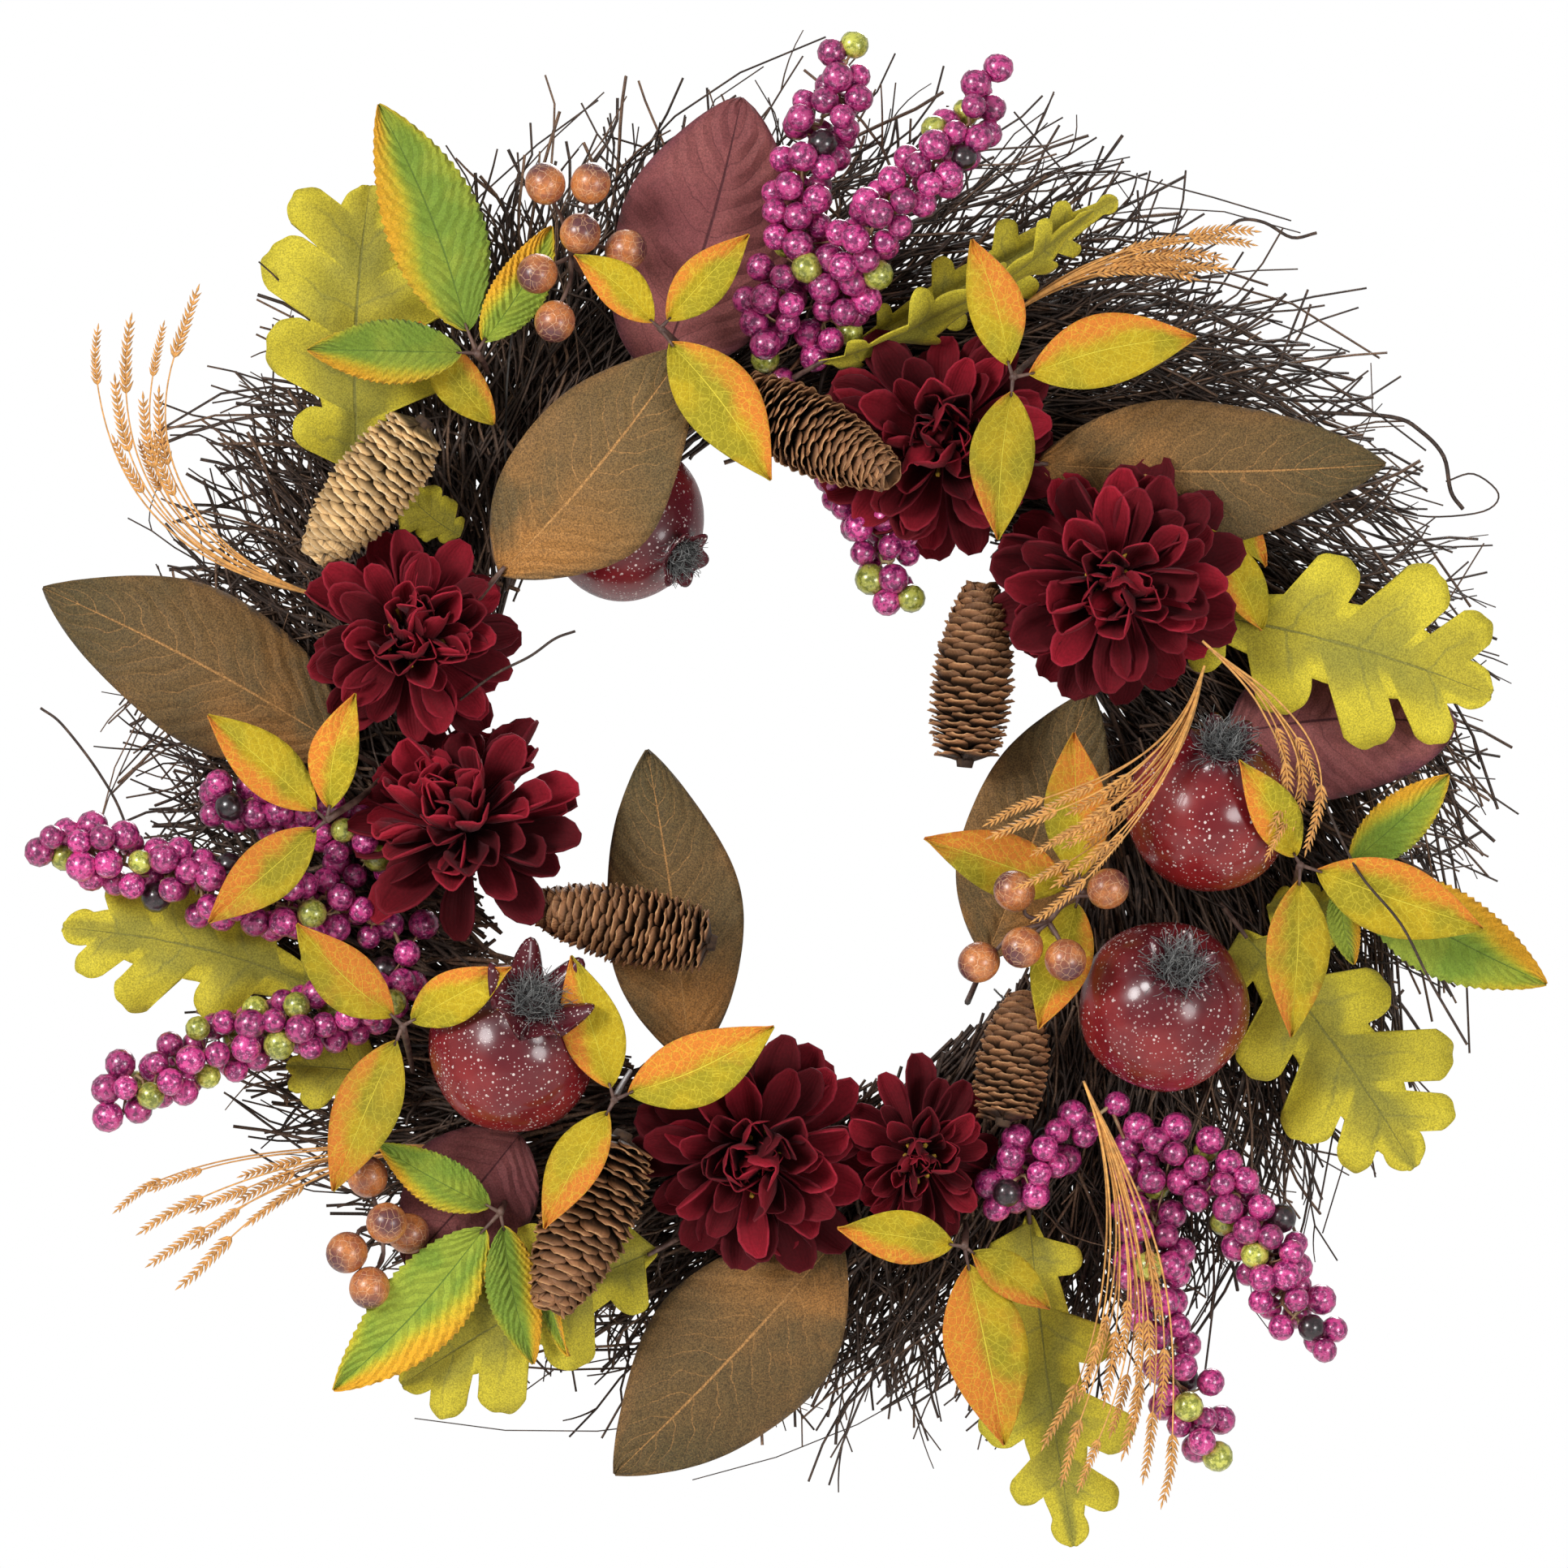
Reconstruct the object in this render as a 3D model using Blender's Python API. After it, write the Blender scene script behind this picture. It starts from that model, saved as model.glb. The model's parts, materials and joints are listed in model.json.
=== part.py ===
"""Harvest door wreath, 24 inches across, built as a florist builds it.

A welded two-ring wire frame carries four bunches of bound twigs, whose tips fan out clockwise. Picks
are pushed and wired into the twigs from the front: large leaves first, then berry picks and wheat, then
chrysanthemums, pomegranates and cones, and small sprigs of leaves on top. A wire loop hinges on the
back of the frame and hangs on the door's hook.

Units are metres. Tables are in millimetres, as (x, z, depth) seen from the front: x to the right and z up
from the ring's centre, and depth forward from the plane of the frame's wires. The wreath faces -Y, and
the origin is the crown of the hanging loop. Every piece is a child of an empty at the ring's centre and
has its own origin where it is rooted: a leaf's at its base, a flower's at its back, the loop's on its hinge.
"""

import math

import bmesh
import bpy
from mathutils import Matrix, Quaternion, Vector

MM = 0.001
GAP = 0.0003

# Frame and hanger
WIRE_R = 0.0019
WIRE_SIDES = 8
FRAME_INNER_R = 0.145
FRAME_OUTER_R = 0.182
RING_SIDES = 44
CROSS_BARS = 8
BAR_R = 0.0010
BAR_SIDES = 6
BAR_DEPTH = 0.0006
HANGER_WIRE_R = 0.001
HANGER_SIDES = 6
HANGER_HEIGHT = 0.030
HANGER_HALF_WIDTH = 0.007
HANGER_CROWN_R = HANGER_HALF_WIDTH + 0.002
HANGER_CROWN_STEPS = 6
EYE_CLEARANCE = 0.0006
EYE_R = WIRE_R + EYE_CLEARANCE + HANGER_WIRE_R
EYE_FROM, EYE_STEP, EYE_POINTS = -230, 20, 12
LEG_NECK = 0.002
LEG_SHOULDER = 0.013
ROOM_BESIDE_LOOP = 0.004
ROOM_ROUND_WIRE = 0.006
RING_CENTRE = Vector((0.0, 0.0, -(FRAME_OUTER_R + HANGER_HEIGHT)))
HINGE = Vector((0.0, 0.0, -HANGER_HEIGHT))
RIGHT = Vector((1, 0, 0))
FORWARD = Vector((0, -1, 0))
UP = Vector((0, 0, 1))
UPRIGHT = Quaternion()

# Twigs
BUNCHES = 4
BUNCH_GAP = 0.003
BUNCH_STEPS = 9
SWIRL_FROM_R = 0.150
SWIRL = 0.80
TIP_R = 0.268
TIP_R_SWELL = 0.020
TIP_SWELL_ANGLE = math.radians(60)
TWIG_BACK = WIRE_R + GAP
# Section of a bunch from its inner edge out: radius, depth of its back, depth of its front. The tips come last
TWIG_SECTION = (
    (0.129, 0.008, 0.020), (0.137, TWIG_BACK, 0.029), (0.150, TWIG_BACK, 0.034), (0.190, TWIG_BACK, 0.034),
    (0.212, TWIG_BACK + 0.002, 0.031),
)
TIP_BACK, TIP_FRONT = 0.008, 0.015

# Binding wire: the loop that it takes round frame and twigs, and its run behind the cross bars
BINDING_WIRE_R = 0.0005
BINDING_SIDES = 4
BINDING_MIDDLE_R, BINDING_MIDDLE_DEPTH = 0.1675, 0.0174
BINDING_HALF_R, BINDING_HALF_DEPTH = 0.0445, 0.0206
BINDING_RUN_DEPTH = -0.0012
BINDING_CREEP = 0.0012
BINDING_LOOP_STEPS, BINDING_RUN_STEPS = 24, 9

# Picks
LEAF_THICKNESS = 0.0012
LEAF_BASE_HALF, LEAF_TIP_HALF = 0.0014, 0.0005
BROAD_LEAF_ROWS = 6
OAK_LEAF_ROWS = 8
SPRIG_LEAF_ROWS = 5
SPRIG_CUP = 3
YELLOW_LEAF_WIDTH, YELLOW_LEAF_BOW = 21, 3
GREEN_LEAF_WIDTH, GREEN_LEAF_BOW = 26, 4
KNOT_R = 0.0035
STEM_R = 0.0012
STEM_SIDES = 5
BERRY_R = 0.0082
SPRAY_R = 0.0145
SPRAY_SIDES = 8
SPRAY_BARE = 0.045
MUM_LOBES = 8
# A chrysanthemum from its calyx to its heart: share of the radius, share of the height, depth of the lobes
MUM_LEVELS = ((0.22, 0.0, 0.0), (0.42, 0.16, 0.0), (1.0, 0.52, 0.10), (0.84, 0.82, 0.08), (0.40, 1.0, 0.0))
FRUIT_SIDES = 12
# A pomegranate in shares of its radius: heights of the globe's rings, then (radius, height) up and into its crown
GLOBE_HEIGHTS = (-0.94, -0.74, -0.40, 0.0, 0.40, 0.74)
CROWN = ((0.36, 0.93), (0.26, 1.02), (0.30, 1.22), (0.24, 1.22), (0.16, 1.04))
FRUIT_BOTTOM = -0.98
HOLLOW_SHARE = 1.04
CONE_SIDES = 10
CONE_ROWS = 5
CONE_STEP = 0.80
CONE_ROW_HALF = 0.42
WHEAT_SIDES = 6
WHEAT_HALF_THICKNESS, WHEAT_HEAD_SWELL = 0.0016, 0.0016
SMOOTH_BELOW = 0.9

# name: base, tip, full width, how far the middle bows forward, how far the edges fall back, roll
BROWN_LEAVES = {
    "brown_leaf_1": ((-111, 80, 62), (-36, 170, 78), 64, 8, 5, -10),
    "brown_leaf_2": ((104, 124, 62), (243, 124, 52), 56, 5, 5, 0),
    "brown_leaf_3": ((-172, 10, 42), (-294, 75, 40), 60, 8, 7, 0),
    "brown_leaf_4": ((-35, -115, 38), (-52, 10, 44), 54, 6, 6, 0),
    "brown_leaf_5": ((84, -73, 38), (126, 34, 42), 56, 5, 5, 0),
    "brown_leaf_6": ((25, -185, 38), (-65, -280, 40), 68, 6, 7, 0),
}
BURGUNDY_LEAVES = {
    "burgundy_leaf_1": ((-48, 160, 38), (-14, 271, 46), 66, 5, 5, 0),
    "burgundy_leaf_2": ((180, 16, 38), (272, 20, 46), 58, 5, 4, 0),
}
OAK_LEAVES = {
    "oak_leaf_1": ((-168, 118, 38), (-163, 236, 42), 84, 4, 4, 0),
    "oak_leaf_2": ((162, 66, 47), (285, 32, 60), 78, 8, 5, 0),
    "oak_leaf_3": ((186, -62, 38), (255, -157, 48), 74, 5, 5, 0),
    "oak_leaf_4": ((101, -176, 38), (119, -309, 40), 62, 5, 5, 0),
    "oak_leaf_5": ((-48, -190, 50), (-150, -244, 46), 72, 4, 4, 0),
    "oak_leaf_6": ((-176, -88, 38), (-286, -61, 40), 62, 4, 4, 0),
    "oak_leaf_7": ((17, 164, 56), (127, 224, 60), 40, 8, 5, 62),
}
# name: hub, three leaf tips, the root of its stem in the twigs
YELLOW_SPRIGS = {
    "yellow_sprig_1": ((-47, 177, 84), ((-80, 206, 90), (-11, 214, 92), (-2, 117, 88)), (-20, 159, 36)),
    "yellow_sprig_2": ((93, 157, 96), ((77, 212, 94), (166, 173, 92), (88, 93, 102)), (106, 170, 36)),
    "yellow_sprig_3": ((-178, -19, 76), ((-226, 24, 76), (-168, 32, 84), (-226, -58, 80)), (-152, 6, 36)),
    "yellow_sprig_4": ((-148, -99, 88), ((-190, -59, 90), (-105, -76, 109), (-176, -165, 84)), (-146, -120, 36)),
    "yellow_sprig_5": ((-65, -129, 92), ((-81, -72, 102), (-1, -99, 100), (-91, -180, 98)), (-58, -118, 36)),
    "yellow_sprig_6": ((207, -35, 90), ((183, 5, 110), (280, -61, 84), (204, -104, 88)), (206, -50, 36)),
    "yellow_sprig_7": ((122, -47, 66), ((118, 17, 72), (59, -25, 76), (103, -101, 88)), (128, -44, 47)),
    "yellow_sprig_8": ((75, -186, 70), ((24, -180, 84), (90, -267, 64), (118, -241, 60)), (75, -178, 36)),
}
GREEN_SPRIGS = {
    "green_sprig_1": ((-119, 167, 62), ((-159, 267, 66), (-90, 219, 60), (-187, 170, 66)), (-116, 160, 36)),
    "green_sprig_2": ((223, -39, 62), ((268, 0, 60), (307, -84, 58), (231, -76, 54)), (215, -36, 36)),
    "green_sprig_3": ((-109, -173, 62), ((-159, -147, 76), (-177, -245, 62), (-98, -235, 58)), (-106, -166, 36)),
}
# name: centre of the back, radius, height, lean to the right and upwards in degrees
MUMS = {
    "mum_1": ((66, 134, 40), 42, 40, 0, 0),
    "mum_2": ((137, 77, 56), 44, 38, -6, -4),
    "mum_3": ((-147, 52, 46), 38, 40, 6, 8),
    "mum_4": ((-126, -17, 44), 42, 40, 6, -8),
    "mum_5": ((-8, -150, 44), 42, 40, 0, -6),
    "mum_6": ((57, -150, 44), 23.5, 36, 0, -8),
}
# name: centre, radius, the way the crown points
POMEGRANATES = {
    "pomegranate_1": ((-61, 102, 42), 32.5, (0.45, 0.42, -0.30)),
    "pomegranate_2": ((172, -14, 71), 33, (0.12, 0.62, 0.62)),
    "pomegranate_3": ((154, -92, 71), 34, (0.12, 0.85, 0.40)),
    "pomegranate_4": ((-105, -109, 71), 33.5, (0.22, 0.70, 0.45)),
}
# name: stalk end, tip, radius
CONES = {
    "cone_1": ((-184, 87, 63), (-140, 141, 70), 17.5),
    "cone_2": ((-15, 151, 64), (46, 118, 99), 17),
    "cone_3": ((82, 76, 56), (75, 4, 58), 17.5),
    "cone_4": ((-97, -52, 66), (-25, -67, 66), 17),
    "cone_5": ((-61, -143, 66), (-90, -211, 77), 20),
    "cone_6": ((98, -90, 58), (90, -139, 66), 15.5),
}
# name: root of the pick, then the points of each of its three sprays
BERRY_PICKS = {
    "berry_pick_top": (
        (2, 150, 44),
        ((-1, 166, 48), (-4, 185, 58), (9, 209, 60), (9, 240, 60), (24, 267, 62), (30, 294, 62)),
        ((12, 168, 48), (28, 196, 62), (43, 225, 84), (72, 251, 78), (90, 283, 70)),
        ((16, 136, 42), (29, 118, 40), (41, 97, 46), (50, 68, 54)),
    ),
    "berry_pick_left": (
        (-140, -58, 44),
        ((-152, -62, 46), (-180, -53, 56), (-232, -44, 60), (-268, -31, 60), (-297, -28, 60)),
        ((-154, -45, 47), (-182, -14, 52), (-203, -11, 54), (-231, -10, 58)),
        ((-150, -80, 48), (-168, -94, 56), (-198, -101, 60), (-229, -112, 62), (-255, -124, 62), (-264, -139, 60)),
    ),
    "berry_pick_right": (
        (138, -131, 44),
        ((128, -136, 48), (105, -151, 56), (86, -176, 58)),
        ((150, -142, 48), (166, -153, 56), (191, -180, 58), (205, -209, 58), (222, -229, 58)),
        ((144, -150, 46), (150, -186, 50), (158, -235, 56), (178, -275, 56)),
    ),
}
# name: middle of the stalks, berry centres
BROWN_BERRIES = {
    "brown_berries_1": (
        (-82, 206, 62),
        ((-92, 235, 74), (-74, 235, 76), (-78, 215, 78), (-60, 209, 70), (-95, 199, 80), (-88, 180, 82)),
    ),
    "brown_berries_2": (
        (108, -58, 92),
        ((94, -46, 96), (131, -45, 98), (80, -74, 96), (97, -68, 104), (114, -73, 106)),
    ),
    "brown_berries_3": (
        (-157, -180, 58),
        ((-163, -160, 66), (-155, -178, 76), (-171, -190, 70), (-162, -204, 70), (-147, -183, 57)),
    ),
}
# name: points along the bundle, width of its head
WHEAT = {
    "wheat_spray_1": (((-183, 71, 47), (-216, 115, 55), (-240, 154, 58), (-246, 192, 60)), 36),
    "wheat_spray_2": (((96, 186, 48), (120, 199, 51), (150, 208, 55), (190, 204, 56)), 20),
    "wheat_spray_3": (((170, 40, 88), (156, 18, 108), (136, -14, 112), (86, -30, 114)), 30),
    "wheat_spray_4": (((122, -122, 88), (137, -167, 82), (143, -222, 78), (126, -290, 72)), 34),
    "wheat_spray_5": (((-128, -150, 39), (-164, -150, 42), (-213, -165, 46), (-255, -189, 50)), 40),
}

# Colour, roughness and metallic value of each finish
FINISHES = {
    "frame_wire": ((0.035, 0.045, 0.035), 0.5, 0.6),
    "binding_wire": ((0.03, 0.028, 0.025), 0.5, 0.7),
    "hanger_wire": ((0.32, 0.32, 0.33), 0.35, 0.9),
    "twig": ((0.045, 0.024, 0.016), 0.8, 0.0),
    "brown_leaf": ((0.20, 0.115, 0.045), 0.75, 0.0),
    "burgundy_leaf": ((0.12, 0.022, 0.030), 0.6, 0.0),
    "oak_leaf": ((0.40, 0.39, 0.045), 0.7, 0.0),
    "yellow_leaf": ((0.65, 0.50, 0.02), 0.6, 0.0),
    "green_leaf": ((0.22, 0.36, 0.045), 0.6, 0.0),
    "mum_petal": ((0.15, 0.008, 0.016), 0.8, 0.0),
    "pomegranate": ((0.14, 0.01, 0.014), 0.3, 0.0),
    "cone": ((0.26, 0.13, 0.05), 0.8, 0.0),
    "pink_berry": ((0.45, 0.035, 0.20), 0.35, 0.0),
    "brown_berry": ((0.40, 0.12, 0.03), 0.4, 0.0),
    "wheat": ((0.50, 0.24, 0.05), 0.7, 0.0),
}


def place(point):
    """A table's (x, z, depth) in millimetres as a point in the wreath's frame, in metres."""
    x, z, depth = point
    return RING_CENTRE + Vector((x, -depth, z)) * MM


def at_angle(angle, radius, depth):
    """The point at a clock angle, clockwise from the top as seen from the front."""
    return RING_CENTRE + Vector((radius * math.sin(angle), -depth, radius * math.cos(angle)))


def material(name):
    """The named finish, made once."""
    found = bpy.data.materials.get(name)
    if found:
        return found
    colour, roughness, metallic = FINISHES[name]
    made = bpy.data.materials.new(name)
    made.use_nodes = True
    shader = made.node_tree.nodes["Principled BSDF"]
    shader.inputs["Base Color"].default_value = (*colour, 1.0)
    shader.inputs["Roughness"].default_value = roughness
    shader.inputs["Metallic"].default_value = metallic
    made.diffuse_color = (*colour, 1.0)
    return made


def wreath():
    """The empty at the ring's centre that carries every piece, made once."""
    found = bpy.data.objects.get("wreath")
    if found:
        return found
    made = bpy.data.objects.new("wreath", None)
    made.location = RING_CENTRE
    bpy.context.scene.collection.objects.link(made)
    return made


def solid(name, mesh, finish, origin=RING_CENTRE, turn=None, smooth=False):
    """An object round a finished bmesh, on the wreath's empty.

    Its origin is placed at the given point. With a turn, a quaternion, the bmesh is already about that origin
    and is turned there. Without one the bmesh is in the wreath's own frame.
    """
    bmesh.ops.recalc_face_normals(mesh, faces=mesh.faces)
    if turn is None:
        bmesh.ops.translate(mesh, vec=-origin, verts=mesh.verts)
    data = bpy.data.meshes.new(name)
    mesh.to_mesh(data)
    mesh.free()
    data.materials.append(material(finish))
    if smooth:
        data.shade_smooth()
        data.set_sharp_from_angle(angle=SMOOTH_BELOW)
    made = bpy.data.objects.new(name, data)
    made.parent = wreath()
    made.location = origin - RING_CENTRE
    made.rotation_mode = "QUATERNION"
    made.rotation_quaternion = turn or (1, 0, 0, 0)
    bpy.context.scene.collection.objects.link(made)
    return made


def ball(name, radius, finish, origin, subdivisions=1, smooth=False):
    mesh = bmesh.new()
    bmesh.ops.create_icosphere(mesh, subdivisions=subdivisions, radius=radius)
    return solid(name, mesh, finish, origin, UPRIGHT, smooth)


def joined(body, others):
    """Boolean-unions the other closed shells into body, and hides them as construction shapes."""
    for other in others:
        union = body.modifiers.new("join_" + other.name, "BOOLEAN")
        union.operation = "UNION"
        union.solver = "EXACT"
        union.object = other
        hide_helper(other)
    return body


def hide_helper(helper):
    helper.hide_render = True
    helper.display_type = "WIRE"


def lofted(rings, closed=False, flat=False):
    """A bmesh skinned over rings of points, with its ends capped or, if closed, joined to each other.

    A flat ring runs out along its back and home along its front, and its cap is a strip between the two.
    """
    mesh = bmesh.new()
    loops = [[mesh.verts.new(p) for p in ring] for ring in rings]
    pairs = list(zip(loops, loops[1:]))
    if closed:
        pairs.append((loops[-1], loops[0]))
    sides = len(loops[0])
    for here, there in pairs:
        for i in range(sides):
            j = (i + 1) % sides
            mesh.faces.new((here[i], here[j], there[j], there[i]))
    for loop in () if closed else (loops[0], loops[-1]):
        if flat:
            for j in range(sides // 2 - 1):
                mesh.faces.new((loop[j], loop[j + 1], loop[-2 - j], loop[-1 - j]))
        else:
            mesh.faces.new(loop)
    return mesh


def smooth_path(points, count):
    """Points at equal steps of a Catmull-Rom curve through the given points."""
    ends = [2 * points[0] - points[1], *points, 2 * points[-1] - points[-2]]
    path = []
    for step in range(count + 1):
        place_on = step / count * (len(points) - 1)
        i = min(int(place_on), len(points) - 2)
        t = place_on - i
        a, b, c, d = ends[i:i + 4]
        path.append(
            0.5 * (2 * b + (c - a) * t + (2 * a - 5 * b + 4 * c - d) * t**2 + (3 * b - a - 3 * c + d) * t**3)
        )
    return path


def section_frames(path, across, closed=False):
    """For each point of a path: the point, and two ways across it, carried along without twisting."""
    frames = []
    last = len(path) - 1
    for i, point in enumerate(path):
        before = path[i - 1] if i or closed else path[0]
        after = path[(i + 1) % len(path)] if i < last or closed else path[last]
        along = (after - before).normalized()
        across = (across - along * across.dot(along)).normalized()
        frames.append((point, across, across.cross(along)))
    return frames


def tube(path, radius, sides, across=None, closed=False):
    """A round tube along a path. The radius is a number, or one for each point."""
    radii = radius if isinstance(radius, list) else [radius] * len(path)
    if across is None:
        across = (path[1] - path[0]).orthogonal()
    rings = []
    for (point, right, ahead), r in zip(section_frames(path, across, closed), radii):
        turns = [2 * math.pi * (k + 0.5) / sides for k in range(sides)]
        rings.append([point + (right * math.cos(a) + ahead * math.sin(a)) * r for a in turns])
    return lofted(rings, closed)


def turned(profile, sides):
    """A solid of revolution about Z. The profile's (radius, height) points start and end on the axis."""
    mesh = bmesh.new()
    rings = []
    for radius, height in profile[1:-1]:
        turns = [2 * math.pi * k / sides for k in range(sides)]
        rings.append([mesh.verts.new((radius * math.cos(a), radius * math.sin(a), height)) for a in turns])
    for here, there in zip(rings, rings[1:]):
        for i in range(sides):
            j = (i + 1) % sides
            mesh.faces.new((here[i], here[j], there[j], there[i]))
    for ring, (_, height) in ((rings[0], profile[0]), (rings[-1], profile[-1])):
        pole = mesh.verts.new((0, 0, height))
        for i in range(sides):
            mesh.faces.new((ring[i], ring[(i + 1) % sides], pole))
    return mesh


def towards(axis):
    """The turn that brings Z to this axis."""
    return UP.rotation_difference(axis)


# ---------------------------------------------------------------- frame, hanger, binding wire


def wire_ring(name, radius):
    """A ring of straight sides whose middles lie on the radius, with one side level at the top."""
    corner_r = radius / math.cos(math.pi / RING_SIDES)
    path = [at_angle(2 * math.pi * (k + 0.5) / RING_SIDES, corner_r, 0.0) for k in range(RING_SIDES)]
    return solid(name, tube(path, WIRE_R, WIRE_SIDES, FORWARD, closed=True), "frame_wire", smooth=True)


def wire_frame():
    """Two rings of round wire, welded to cross bars that run across their fronts."""
    outer = wire_ring("wire_frame", FRAME_OUTER_R)
    parts = [wire_ring("inner_ring", FRAME_INNER_R)]
    for k in range(CROSS_BARS):
        angle = 2 * math.pi * (k + 0.5) / CROSS_BARS
        ends = [at_angle(angle, FRAME_INNER_R, BAR_DEPTH), at_angle(angle, FRAME_OUTER_R, BAR_DEPTH)]
        parts.append(solid(f"cross_bar_{k + 1}", tube(ends, BAR_R, BAR_SIDES), "frame_wire", ends[0]))
    joined(outer, parts)


def hanger_loop():
    """One bent wire: an open eye round the outer ring at each end, and the loop between them.

    Its origin is on the hinge, which is the level side at the top of the outer ring.
    """
    left_leg = []
    for k in range(EYE_POINTS):
        a = math.radians(EYE_FROM + EYE_STEP * k)
        left_leg.append(Vector((-HANGER_HALF_WIDTH, -EYE_R * math.sin(a), EYE_R * math.cos(a))) + HINGE)
    left_leg.append(Vector((-HANGER_HALF_WIDTH, 0.0, EYE_R + LEG_NECK)) + HINGE)
    left_leg.append(Vector((-HANGER_CROWN_R, 0.0, LEG_SHOULDER)) + HINGE)
    crown = []
    for k in range(HANGER_CROWN_STEPS + 1):
        a = math.pi * (1 - k / HANGER_CROWN_STEPS)
        crown.append(Vector((HANGER_CROWN_R * math.cos(a), 0.0, HANGER_CROWN_R * (math.sin(a) - 1))))
    right_leg = [Vector((-p.x, p.y, p.z)) for p in reversed(left_leg)]
    wire = tube(left_leg + crown + right_leg, HANGER_WIRE_R, HANGER_SIDES, RIGHT)
    solid("hanger_loop", wire, "hanger_wire", HINGE, smooth=True)


def swirl(radius):
    """How far clockwise the twigs have leaned by this radius, in radians."""
    return SWIRL * math.log(max(radius, SWIRL_FROM_R) / SWIRL_FROM_R)


def squared(value):
    """Draws a cosine or a sine out, so that a circle comes nearer to a rounded square."""
    return math.copysign(abs(value) ** 0.5, value)


def binding_wire():
    """Thin wire that loops round frame and twigs between the bunches, and runs on behind the cross bars."""
    span = 2 * math.pi / BUNCHES
    path = []
    for k in range(BUNCHES):
        gap_angle = bunch_start(k) - BUNCH_GAP / 2 / SWIRL_FROM_R
        for step in range(BINDING_LOOP_STEPS):
            share = step / BINDING_LOOP_STEPS
            a = 2 * math.pi * share - math.pi / 2
            radius = BINDING_MIDDLE_R + BINDING_HALF_R * squared(math.cos(a))
            depth = BINDING_MIDDLE_DEPTH + BINDING_HALF_DEPTH * squared(math.sin(a))
            creep = BINDING_CREEP * (share - 0.5) / BINDING_MIDDLE_R
            path.append(at_angle(gap_angle + swirl(radius) + creep, radius, depth))
        for step in range(1, BINDING_RUN_STEPS) if k < BUNCHES - 1 else ():
            angle = gap_angle + swirl(BINDING_MIDDLE_R) + span * step / BINDING_RUN_STEPS
            path.append(at_angle(angle, BINDING_MIDDLE_R, BINDING_RUN_DEPTH))
    solid("binding_wire", tube(path, BINDING_WIRE_R, BINDING_SIDES), "binding_wire")


# ---------------------------------------------------------------- twigs


def bunch_start(k):
    return 2 * math.pi * (k + 0.5) / BUNCHES


def tip_radius(angle):
    return TIP_R + TIP_R_SWELL * math.cos(angle - TIP_SWELL_ANGLE)


def twig_bunch(k):
    """A quarter of the ring: a thick bound core, and the fan of its tips, which leans clockwise."""
    start = bunch_start(k)
    span = 2 * math.pi / BUNCHES - BUNCH_GAP / SWIRL_FROM_R
    rings = []
    for step in range(BUNCH_STEPS + 1):
        angle = start + span * step / BUNCH_STEPS
        tip = tip_radius(angle + swirl(TIP_R))
        rows = (*TWIG_SECTION, (tip, TIP_BACK, TIP_FRONT))
        out = [at_angle(angle + swirl(radius), radius, back) for radius, back, _ in rows]
        home = [at_angle(angle + swirl(radius), radius, front) for radius, _, front in reversed(rows)]
        rings.append(out + home)
    bunch = solid(f"twig_bunch_{k + 1}", lofted(rings, flat=True), "twig")
    if k == BUNCHES - 1:
        cut(bunch, hanger_room())
        cut(bunch, fruit_hollow("pomegranate_1"))


def cut(body, cutter):
    hide_helper(cutter)
    difference = body.modifiers.new(cutter.name, "BOOLEAN")
    difference.operation = "DIFFERENCE"
    difference.solver = "EXACT"
    difference.object = cutter


def hanger_room():
    """The twigs are parted at the back of the top, where the hanger's eyes go round the frame."""
    room = bmesh.new()
    bmesh.ops.create_cube(room, size=2.0)
    halves = Vector((HANGER_HALF_WIDTH + ROOM_BESIDE_LOOP, ROOM_ROUND_WIRE, ROOM_ROUND_WIRE))
    bmesh.ops.scale(room, vec=halves, verts=room.verts)
    return solid("hanger_room", room, "twig", HINGE, UPRIGHT)


def fruit_hollow(name):
    """The hollow that a fruit, pushed in from the ring's opening, presses into the twigs."""
    centre, radius, _ = POMEGRANATES[name]
    return ball(name + "_hollow", radius * MM * HOLLOW_SHARE + 2 * GAP, "twig", place(centre), 2)


# ---------------------------------------------------------------- leaves


def magnolia_outline(t):
    return math.sin(math.pi * t**0.9) ** 0.75


def oak_outline(t):
    return math.sin(math.pi * min(1, 0.04 + 0.96 * t) ** 0.8) ** 0.7 * (0.84 + 0.16 * math.cos(8 * math.pi * t))


def lance_outline(t):
    return math.sin(math.pi * max(0.0, (t - 0.10) / 0.90) ** 0.9) ** 0.9


def blade(name, base, tip, width, bow, cup, roll, outline, rows, finish):
    """A leaf: thickest along its midrib, bowed forward in the middle, with its edges falling back.

    Its own X runs across it, Y from its base to its tip, and Z out of its face.
    """
    start, end = place(base), place(tip)
    length = (end - start).length
    along = (end - start).normalized()
    across = Matrix.Rotation(math.radians(roll), 3, along) @ along.cross(FORWARD).normalized()
    ahead = across.cross(along).normalized()
    rings = []
    for i in range(rows + 1):
        t = i / rows
        spread = outline(t) if 0 < i < rows else 0.0
        half = max(width * MM / 2 * spread, LEAF_BASE_HALF if t < 0.5 else LEAF_TIP_HALF)
        rise = bow * MM * 4 * t * (1 - t)
        fall = rise - cup * MM * spread
        y = t * length
        rings.append([
            Vector((-half, y, fall)), Vector((0, y, rise + LEAF_THICKNESS / 2)),
            Vector((half, y, fall)), Vector((0, y, rise - LEAF_THICKNESS / 2)),
        ])
    turn = Matrix((across, along, ahead)).transposed().to_quaternion()
    return solid(name, lofted(rings), finish, start, turn)


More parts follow.
